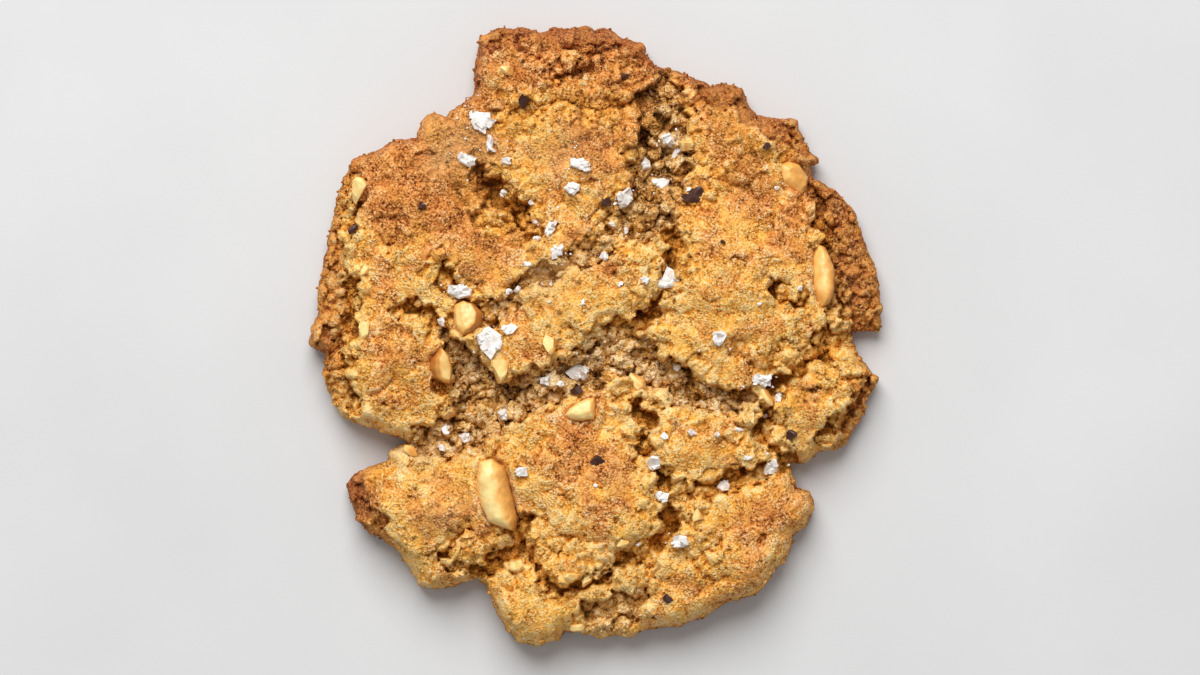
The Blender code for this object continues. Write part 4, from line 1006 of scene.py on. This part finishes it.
# Peanut pieces large enough to lift out: the crown's line and the outline as seen from above, toasting, and
# painted shade on one flank
peanuts = {
    "peanut_half_lower_left": {
        "thickness": 4.8, "kind": "rounded", "crown": ((493, 474), (503, 513)), "toast": 0.0, "flankShade": 0.38,
        "outline": ((482, 460), (494, 457), (507, 465), (511, 480), (514, 498), (519, 516), (517, 530),
                    (505, 527), (490, 520), (481, 502), (477, 480))},
    "peanut_half_right": {
        "thickness": 4.2, "kind": "rounded", "crown": ((823, 260), (825, 290)), "toast": 0.16, "flankShade": 0.2,
        "outline": ((817, 243), (826, 245), (831, 257), (836, 274), (834, 290), (829, 304), (821, 308),
                    (815, 296), (811, 278), (812, 258))},
    "peanut_piece_upper_right": {
        "thickness": 3.6, "kind": "chopped", "crown": ((790, 174), (800, 182)), "toast": 0.2, "flankShade": 0.2,
        "outline": ((780, 166), (790, 161), (800, 164), (810, 177), (809, 191), (802, 196),
                    (792, 190), (781, 182))},
    "peanut_piece_left_centre": {
        "thickness": 4.4, "kind": "chopped", "crown": ((470, 308), (473, 328)), "toast": 0.1, "flankShade": 0.6,
        "outline": ((455, 306), (464, 301), (476, 304), (486, 314), (482, 325), (472, 334),
                    (463, 336), (456, 326))},
    "peanut_piece_left": {
        "thickness": 3.8, "kind": "chopped", "crown": ((441, 354), (445, 374)), "toast": 0.14, "flankShade": -0.42,
        "outline": ((432, 358), (441, 347), (449, 355), (454, 366), (451, 384), (443, 382),
                    (435, 377), (431, 368))},
    "peanut_piece_centre": {
        "thickness": 3.2, "kind": "chopped", "crown": ((578, 412), (590, 406)), "toast": 0.02, "flankShade": 0.15,
        "outline": ((565, 415), (571, 408), (580, 401), (590, 397), (596, 398), (597, 408), (595, 418),
                    (584, 420), (573, 419))},
}

# How the two kinds of piece narrow: share of the outline, height in thicknesses
nutLevels = {
    "rounded": ((0.7, -0.5), (0.94, -0.34), (1.0, -0.12), (0.96, 0.04), (0.86, 0.18), (0.68, 0.33),
                (0.42, 0.45), (0.12, 0.5)),
    "chopped": ((0.75, -0.5), (1.0, -0.2), (0.98, 0.1), (0.84, 0.3), (0.45, 0.5)),
}

# Peanut pieces: mesh fineness in mm, rounds of smoothing by kind, and unevenness as amount and length in mm
nutFinish = {"fineness": 0.18, "rounds": {"rounded": 36, "chopped": 5}, "uneven": ((0.16, 2.6), (0.06, 0.9)),
             "steepness": 0.4, "reach": 3.0}

# Chopped peanut baked in: right, down, length, width, heading
peanutChips = (
    (501, 371, 5.0, 3.3, 70), (550, 345, 3.6, 2.7, 80), (638, 382, 4.6, 2.6, -60),
    (765, 396, 4.2, 2.6, -60), (362, 192, 5.0, 2.8, 80), (686, 146, 3.2, 2.8, 40), (366, 331, 3.8, 2.4, 80),
    (572, 574, 3.0, 2.2, 25), (588, 578, 3.4, 2.0, 60), (508, 71, 2.8, 1.8, -30), (578, 627, 2.8, 1.8, 10),
    (411, 452, 2.8, 2.0, -20), (366, 272, 2.2, 1.4, 60), (698, 514, 2.6, 2.2, 80), (420, 303, 2.2, 1.4, 20),
    (622, 541, 2.4, 1.6, 30),
)

# Chocolate flecks, the same values
chocolateFlecks = (
    (692, 196, 4.6, 2.8, 10), (524, 103, 2.9, 2.2, 70), (606, 203, 2.0, 1.8, 0), (355, 230, 2.3, 2.1, 30),
    (791, 436, 2.5, 2.1, 80), (577, 391, 2.5, 1.8, 0), (597, 460, 2.2, 2.1, 45), (668, 597, 1.9, 1.7, 0),
    (722, 243, 1.0, 0.9, 0), (765, 147, 1.6, 1.3, 20), (625, 78, 1.4, 1.1, 0), (424, 207, 1.4, 1.0, 0),
)

# Salt flakes, the same values
saltFlakes = (
    (482, 124, 4.2, 3.4, 20), (492, 145, 2.8, 1.6, 80), (465, 160, 3.6, 2.8, -10),
    (580, 166, 3.8, 2.1, -25), (575, 189, 3.6, 2.6, 15), (624, 198, 3.2, 2.8, 30),
    (660, 186, 2.8, 2.1, -20), (668, 140, 2.8, 2.5, 60), (557, 252, 2.7, 2.5, 0), (551, 230, 3.0, 1.6, 80),
    (668, 281, 5.2, 3.4, 70), (491, 343, 5.0, 4.0, -60), (510, 330, 2.5, 2.1, 40),
    (461, 291, 4.2, 2.2, -10), (579, 372, 4.2, 2.8, 10), (546, 380, 2.2, 1.8, 0), (758, 380, 4.0, 2.2, -10),
    (718, 338, 3.2, 2.5, 80), (521, 470, 2.4, 2.2, 20), (465, 438, 2.2, 1.8, 0), (654, 461, 2.5, 2.2, 70),
    (660, 496, 2.4, 1.8, 10), (722, 486, 2.5, 2.2, 30), (769, 466, 3.4, 1.8, 35), (680, 540, 2.9, 2.8, 0),
    (605, 258, 1.9, 1.8, 20), (778, 398, 2.4, 1.2, 80), (505, 194, 2.1, 1.5, 10), (478, 117, 3.0, 1.4, 0),
    (506, 163, 1.7, 1.7, 0), (532, 203, 1.0, 0.8, 0), (537, 223, 1.1, 1.0, 0), (538, 240, 1.8, 1.1, 10),
    (528, 265, 1.4, 1.0, 0), (518, 291, 1.4, 1.3, 0), (508, 292, 1.7, 1.3, 30), (547, 285, 2.4, 0.8, 0),
    (443, 320, 1.7, 1.4, 80), (583, 302, 1.3, 0.7, 90), (549, 302, 0.9, 0.8, 0), (625, 232, 1.4, 1.0, 80),
    (645, 165, 2.0, 1.7, 80), (676, 155, 2.0, 1.4, 70), (645, 279, 1.7, 1.3, 0), (621, 284, 1.0, 0.9, 0),
    (776, 189, 1.0, 0.9, 0), (798, 288, 1.2, 1.0, 30), (758, 304, 0.9, 0.8, 0), (676, 367, 1.4, 1.3, 0),
    (560, 383, 1.7, 1.3, 0), (505, 413, 2.1, 1.7, 80), (446, 430, 1.7, 1.3, 80), (443, 447, 1.4, 1.3, 0),
    (663, 436, 1.6, 1.3, 0), (690, 431, 1.6, 1.3, 0), (716, 434, 1.4, 0.9, 0), (737, 429, 1.4, 0.9, 0),
    (765, 416, 2.0, 0.9, 0), (748, 457, 1.7, 0.9, 0), (638, 543, 0.9, 0.8, 0), (595, 484, 0.9, 0.8, 0),
    (688, 190, 1.0, 0.9, 0), (612, 225, 1.0, 0.8, 0),
)

# How small toppings lie: share of the crust's slope, how far towards its highest point, and share sunk in it
topping = {"steepness": 0.7, "lean": 0.7, "sink": 0.35, "chipThickness": 0.65, "saltThickness": 0.6,
           "fleckThickness": 1.3, "saltSink": 0.1}


def crustAt(fields, right, down, reach, steepness, lean=0.0):
    # the crust's height round a place, from its mean towards its highest, and a share of its slope as a tilt
    x, y = place(right, down)
    plan = np.array(((x, y), (x + reach, y), (x - reach, y), (x, y + reach), (x, y - reach)))
    z = sampled(fields, "height", plan)
    normal = Vector((steepness * (z[2] - z[1]), steepness * (z[4] - z[3]), 2 * reach))
    tilt = Vector((0.0, 0.0, 1.0)).rotation_difference(normal).to_matrix().to_4x4()
    return Vector((x, y, z.mean() + lean * (z.max() - z.mean()))), tilt


def nutForm(nut):
    # the outline narrows towards the crown's line above and below
    bm = bmesh.new()
    corners = np.array([place(*corner) for corner in nut["outline"]])
    _, near = toSegment(corners, place(*nut["crown"][0]), place(*nut["crown"][1]))
    for share, level in nutLevels[nut["kind"]]:
        for x, y in near + (corners - near) * share:
            bmesh.ops.create_vert(bm, co=(x, y, level * nut["thickness"]))
    hull = bmesh.ops.convex_hull(bm, input=bm.verts)
    inner = set(hull["geom_interior"] + hull["geom_unused"])
    inner = [item for item in inner if isinstance(item, bmesh.types.BMVert)]
    bmesh.ops.delete(bm, geom=inner, context="VERTS")
    bmesh.ops.translate(bm, vec=(*-corners.mean(axis=0), 0.0), verts=bm.verts)
    return bm


def worn(bm, rounds, seed):
    # an even mesh over the form, its edges rounded and its faces a little uneven
    helper = linked("worn", bareMesh(bm, "worn"))
    even = helper.modifiers.new("even", "REMESH")
    even.mode = "VOXEL"
    even.voxel_size = nutFinish["fineness"]
    soft = helper.modifiers.new("soft", "SMOOTH")
    soft.factor = 0.5
    soft.iterations = rounds
    bpy.context.view_layer.update()
    finished = bmesh.new()
    finished.from_object(helper, bpy.context.evaluated_depsgraph_get())
    bpy.data.objects.remove(helper)
    bmesh.ops.triangulate(finished, faces=finished.faces)
    finished.normal_update()
    shift = Vector((seed * 5.0, 0.0, 0.0))
    pushes = [sum(amount * noise.noise(v.co / length + shift) for amount, length in nutFinish["uneven"])
              for v in finished.verts]
    normals = [v.normal.copy() for v in finished.verts]
    for vert, push, normal in zip(finished.verts, pushes, normals):
        vert.co += normal * push
    return finished


def peanutPieces(fields, material):
    for seed, (name, nut) in enumerate(peanuts.items()):
        middle = np.array(nut["outline"]).mean(axis=0)
        _, slope = crustAt(fields, *middle, nutFinish["reach"], nutFinish["steepness"])
        bm = nutForm(nut)
        bmesh.ops.transform(bm, matrix=slope, verts=bm.verts)
        bm = worn(bm, nutFinish["rounds"][nut["kind"]], seed)
        # the solid's own box says where the piece lies
        low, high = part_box(name)
        corners = np.array([v.co for v in bm.verts])
        middle = Vector((corners.min(axis=0) + corners.max(axis=0)) / 2)
        bmesh.ops.translate(bm, vec=(low + high) * 500 - middle, verts=bm.verts)
        mesh = meshFrom(bm, name + "_roasted")
        markLow(mesh, nut["toast"], nut["flankShade"])
        finishPiece(name + "_roasted", mesh, material, (name,))
        print(name + ":", len(mesh.polygons), "faces")


def settle(bm, spot, slope, heading, lift):
    turn = Matrix.Rotation(math.radians(heading), 4, "Z")
    up = slope @ Vector((0.0, 0.0, lift))
    bmesh.ops.transform(bm, matrix=Matrix.Translation(spot + up) @ slope @ turn, verts=bm.verts)


def gathered(forms, name, smoothness=None):
    # joins many small bmeshes, already in place, into one mesh
    whole = bmesh.new()
    for bm in forms:
        part = bareMesh(bm, "part")
        whole.from_mesh(part)
        bpy.data.meshes.remove(part)
    return meshFrom(whole, name, smoothness)


def crystal(length, width, thickness, sides, rng):
    # one thin broken plate of salt with a chipped top
    bm = bmesh.new()
    bmesh.ops.create_circle(bm, cap_ends=True, segments=sides, radius=0.5)
    for vert in bm.verts:
        out = rng.uniform(0.55, 1.25)
        vert.co.x *= length * out
        vert.co.y *= width * out
    raised = bmesh.ops.extrude_face_region(bm, geom=bm.faces[:], use_keep_orig=True)["geom"]
    top = [item for item in raised if isinstance(item, bmesh.types.BMFace)]
    bmesh.ops.translate(bm, vec=(0.0, 0.0, thickness), verts=top[0].verts)
    bmesh.ops.inset_individual(bm, faces=top, thickness=rng.uniform(0.05, 0.2) * width, depth=0.25 * thickness)
    tilt = Vector((rng.uniform(-0.3, 0.3), rng.uniform(-0.3, 0.3), 0.0))
    for vert in top[0].verts:
        vert.co.z += vert.co.dot(tilt)
    return bm


def saltFlake(length, width, seed):
    # a broken plate of crystal, smaller plates grown on it at a slant, and grains that broke off beside it
    rng = random.Random(seed)
    thickness = topping["saltThickness"] * min(1.0, width / 1.6)
    sides = rng.choice((5, 6, 7) if length > 2.0 else (4, 5, 6))
    forms = [crystal(length * 1.1, width * 1.1, thickness, sides, rng)]
    for _ in range(1 + (length > 1.6) + (length > 2.0) + 2 * (length > 2.6) + 2 * (length > 3.6)):
        share = rng.uniform(0.3, 0.65)
        small = crystal(length * share, width * share * 1.2, thickness * 0.7, rng.choice((4, 5)), rng)
        apart = [rng.uniform(-0.36, 0.36) * length, rng.uniform(-0.36, 0.36) * width]
        apart.append(rng.uniform(0.3, 0.9) * thickness)
        tilt = Matrix.Rotation(rng.uniform(-0.7, 0.7), 4, "X")
        tilt = tilt @ Matrix.Rotation(rng.uniform(-0.7, 0.7), 4, "Y")
        turn = Matrix.Rotation(rng.uniform(0.0, 6.28), 4, "Z")
        bmesh.ops.transform(small, matrix=Matrix.Translation(apart) @ tilt @ turn, verts=small.verts)
        forms.append(small)
    for _ in range(4 * (length > 2.6) + 3 * (length > 3.4)):
        size = rng.uniform(0.25, 0.7)
        grain = crystal(size, size * rng.uniform(0.5, 1.0), size * 0.6, 4, rng)
        turn, far = rng.uniform(0.0, 6.28), rng.uniform(0.6, 1.3) * length
        apart = (far * math.cos(turn), far * math.sin(turn), 0.1)
        bmesh.ops.translate(grain, vec=apart, verts=grain.verts)
        forms.append(grain)
    return forms


def chunkForm(size, seed):
    # a chopped chip: a round form cut flat on several sides, its edges worn
    rng = random.Random(seed)
    bm = bmesh.new()
    bmesh.ops.create_icosphere(bm, subdivisions=3, radius=1.0)
    for _ in range(8):
        normal = Vector((rng.uniform(-1, 1), rng.uniform(-1, 1), rng.uniform(-0.2, 1))).normalized()
        cut = bmesh.ops.bisect_plane(
            bm, geom=bm.verts[:] + bm.edges[:] + bm.faces[:], dist=0.0001,
            plane_co=normal * rng.uniform(0.38, 0.72), plane_no=normal, clear_outer=True)
        rim = [item for item in cut["geom_cut"] if isinstance(item, bmesh.types.BMEdge)]
        bmesh.ops.contextual_create(bm, geom=rim)
    bmesh.ops.triangulate(bm, faces=bm.faces)
    bmesh.ops.smooth_vert(bm, verts=bm.verts, factor=0.25, use_axis_x=True, use_axis_y=True, use_axis_z=True)
    corners = np.array([v.co for v in bm.verts])
    low, high = corners.min(axis=0), corners.max(axis=0)
    for vert, corner in zip(bm.verts, corners):
        vert.co = Vector((corner - (low + high) / 2) * np.array(size) / (high - low))
    return bm


def bakedOnToppings(fields, materials):
    for name, listed, slot in (
            ("chopped_peanut", peanutChips, "roasted_peanut"),
            ("chocolate_flecks", chocolateFlecks, "chocolate"),
            ("salt_flakes", saltFlakes, "salt")):
        forms = []
        for seed, (right, down, length, width, heading) in enumerate(listed):
            spot, slope = crustAt(fields, right, down, width / 2, topping["steepness"], topping["lean"])
            if slot == "salt":
                made = saltFlake(length, width, seed)
                lift = -topping["saltSink"] * topping["saltThickness"]
            else:
                thickness = topping["chipThickness"] * width
                if slot == "chocolate":
                    thickness = topping["fleckThickness"]
                made = [chunkForm((length, width, thickness), seed + 40)]
                lift = thickness * (0.5 - topping["sink"])
            for bm in made:
                settle(bm, spot, slope, heading, lift)
            forms += made
        mesh = gathered(forms, name, 12 if slot == "salt" else 28)
        if slot == "roasted_peanut":
            markLow(mesh)
        finishPiece(name, mesh, materials[slot])
        print(name + ":", len(mesh.polygons), "faces")


# Crowds of crumbs. "areas" are a map's share in how likely a crumb is, "sizes" and "inward" from the edge are
# in mm, "faces" are the segments and rings of a shape.
crumbCrowds = {
    "crumbs_large": {
        "tries": 2600, "everywhere": 0.0,
        "areas": {"rift": 0.55, "crack": 0.1, "footing": 0.16, "ragged": 0.1},
        "sizes": (1.6, 3.4), "smallness": 1.8, "lift": -0.14, "inward": 1.4, "roughness": 0.75,
        "faces": (9, 7), "shapes": 10, "seed": 5, "sharpness": 50,
    },
    "crumbs_medium": {
        "tries": 9000, "everywhere": 0.04,
        "areas": {"rift": 0.8, "crack": 0.4, "footing": 0.3, "ragged": 0.28, "border": 0.5},
        "sizes": (0.7, 1.7), "smallness": 1.6, "lift": -0.1, "inward": 0.25, "roughness": 0.75,
        "faces": (7, 5), "shapes": 12, "seed": 11, "sharpness": 40,
    },
    "crumbs_fine": {
        "tries": 20000, "everywhere": 0.2,
        "areas": {"rift": 0.5, "footing": 0.4, "ragged": 0.2, "border": 0.5},
        "sizes": (0.3, 0.85), "smallness": 1.6, "lift": 0.0, "inward": 0.02, "roughness": 0.6,
        "faces": (5, 4), "shapes": 12, "seed": 23, "sharpness": 30,
    },
}


def crumbShapes(count, sides, rings, roughness, seed):
    # a few jagged lumps, 1 mm across, that the crowd of crumbs is made of
    shapes = []
    for number in range(count):
        bm = bmesh.new()
        bmesh.ops.create_uvsphere(bm, u_segments=sides, v_segments=rings, radius=0.5)
        for vert in bm.verts:
            spot = vert.co * 2.6 + Vector((seed + number * 7.0, 0.0, 0.0))
            jag = noise.noise(spot) + 0.7 * noise.noise(spot * 2.1) + 0.4 * noise.noise(spot * 4.3)
            vert.co *= 1.0 + roughness * jag
        shapes.append(bareMesh(bm, "crumb"))
    return shapes


def looseCrumbs(fields, material):
    # lumps of the same dough, half sunk where they baked on
    reach = fields["reach"]
    for name, crumbs in crumbCrowds.items():
        rng = random.Random(crumbs["seed"])
        shapes = crumbShapes(crumbs["shapes"], *crumbs["faces"], crumbs["roughness"], crumbs["seed"])
        spots = np.array([
            (rng.uniform(-reach, reach), rng.uniform(-reach, reach)) for _ in range(crumbs["tries"])])
        likely = crumbs["everywhere"] + sum(
            share * sampled(fields, area, spots) for area, share in crumbs["areas"].items())
        distance, height = sampled(fields, "distance", spots), sampled(fields, "height", spots)
        crumbLots = []
        whole = bmesh.new()
        for (x, y), chance, d, z in zip(spots, likely, distance, height):
            if d < crumbs["inward"] or rng.random() > chance:
                continue
            small, large = crumbs["sizes"]
            size = small + (large - small) * rng.random() ** crumbs["smallness"]
            shape = rng.choice(shapes)
            axis = Vector((rng.uniform(-1, 1), rng.uniform(-1, 1), rng.uniform(-1, 1)))
            turn = Matrix.Rotation(rng.uniform(0, 6.28), 4, axis.normalized())
            squash = Matrix.Diagonal((size, size * rng.uniform(0.7, 1.0), size * rng.uniform(0.55, 0.9), 1))
            moved = Matrix.Translation((x, y, z + size * crumbs["lift"])) @ turn @ squash
            shape.transform(moved)
            whole.from_mesh(shape)
            shape.transform(moved.inverted())
            crumbLots.append(rng.random())
        onFloor(whole.verts)
        mesh = meshFrom(whole, name, crumbs["sharpness"])
        paint(mesh, fields, np.repeat(crumbLots, len(mesh.vertices) // len(crumbLots)))
        finishPiece(name, mesh, material)
        print(name + ":", len(crumbLots), "crumbs,", len(mesh.polygons), "faces")


def studio():
    look = {"floorSize": 3000, "keySize": 1.15, "keyDistance": 1.4, "keyHeight": 49.5, "keyTurn": 10.0,
            "keyPower": 24.2, "sky": 0.345}
    bm = bmesh.new()
    bmesh.ops.create_grid(bm, x_segments=1, y_segments=1, size=look["floorSize"])
    floor = linked("floor", meshFrom(bm, "floor"))
    floor.data.materials.append(plainMaterial("paintedBoard"))

    key = bpy.data.lights.new("key", "AREA")
    key.shape = "DISK"
    key.size = look["keySize"]
    key.energy = look["keyPower"]
    lamp = linked("key", key)
    raised, turn = math.radians(look["keyHeight"]), math.radians(look["keyTurn"])
    away = Vector((-math.sin(turn) * math.cos(raised), math.cos(turn) * math.cos(raised), math.sin(raised)))
    lamp.location = away * look["keyDistance"]
    lamp.rotation_euler = (-away).to_track_quat("-Z", "Y").to_euler()

    world = bpy.data.worlds.new("studio")
    world.use_nodes = True
    sky = world.node_tree.nodes["Background"]
    sky.inputs["Color"].default_value = (1.0, 1.0, 1.0, 1.0)
    sky.inputs["Strength"].default_value = look["sky"]
    bpy.context.scene.world = world
    bpy.context.scene.view_settings.view_transform = "Standard"

    camera = bpy.data.cameras.new("camera")
    camera.lens = view["lens"]
    camera.sensor_width = view["sensor"]
    camera.clip_start, camera.clip_end = 0.05, 10.0
    eye = linked("camera", camera)
    x, y = place(*view["pictureCentre"])
    away = view["pictureWidth"] * mmPerPixel * view["lens"] / view["sensor"] + view["sharpHeight"]
    eye.location = Vector((x, y, away)) * 0.001
    bpy.context.scene.camera = eye


studio()
edge = roughEdge()
fields = surfaceFields(edge)
addTone(fields)
print("surface maps made")
crust, peanut = bakedCrust(), plainMaterial("roastedPeanut")
cookieBody(fields, edge, crust)
peanutPieces(fields, peanut)
chocolate, salt = plainMaterial("darkChocolate"), plainMaterial("flakySalt")
bakedOnToppings(fields, {"roasted_peanut": peanut, "chocolate": chocolate, "salt": salt})
looseCrumbs(fields, crust)

print("all pieces made")
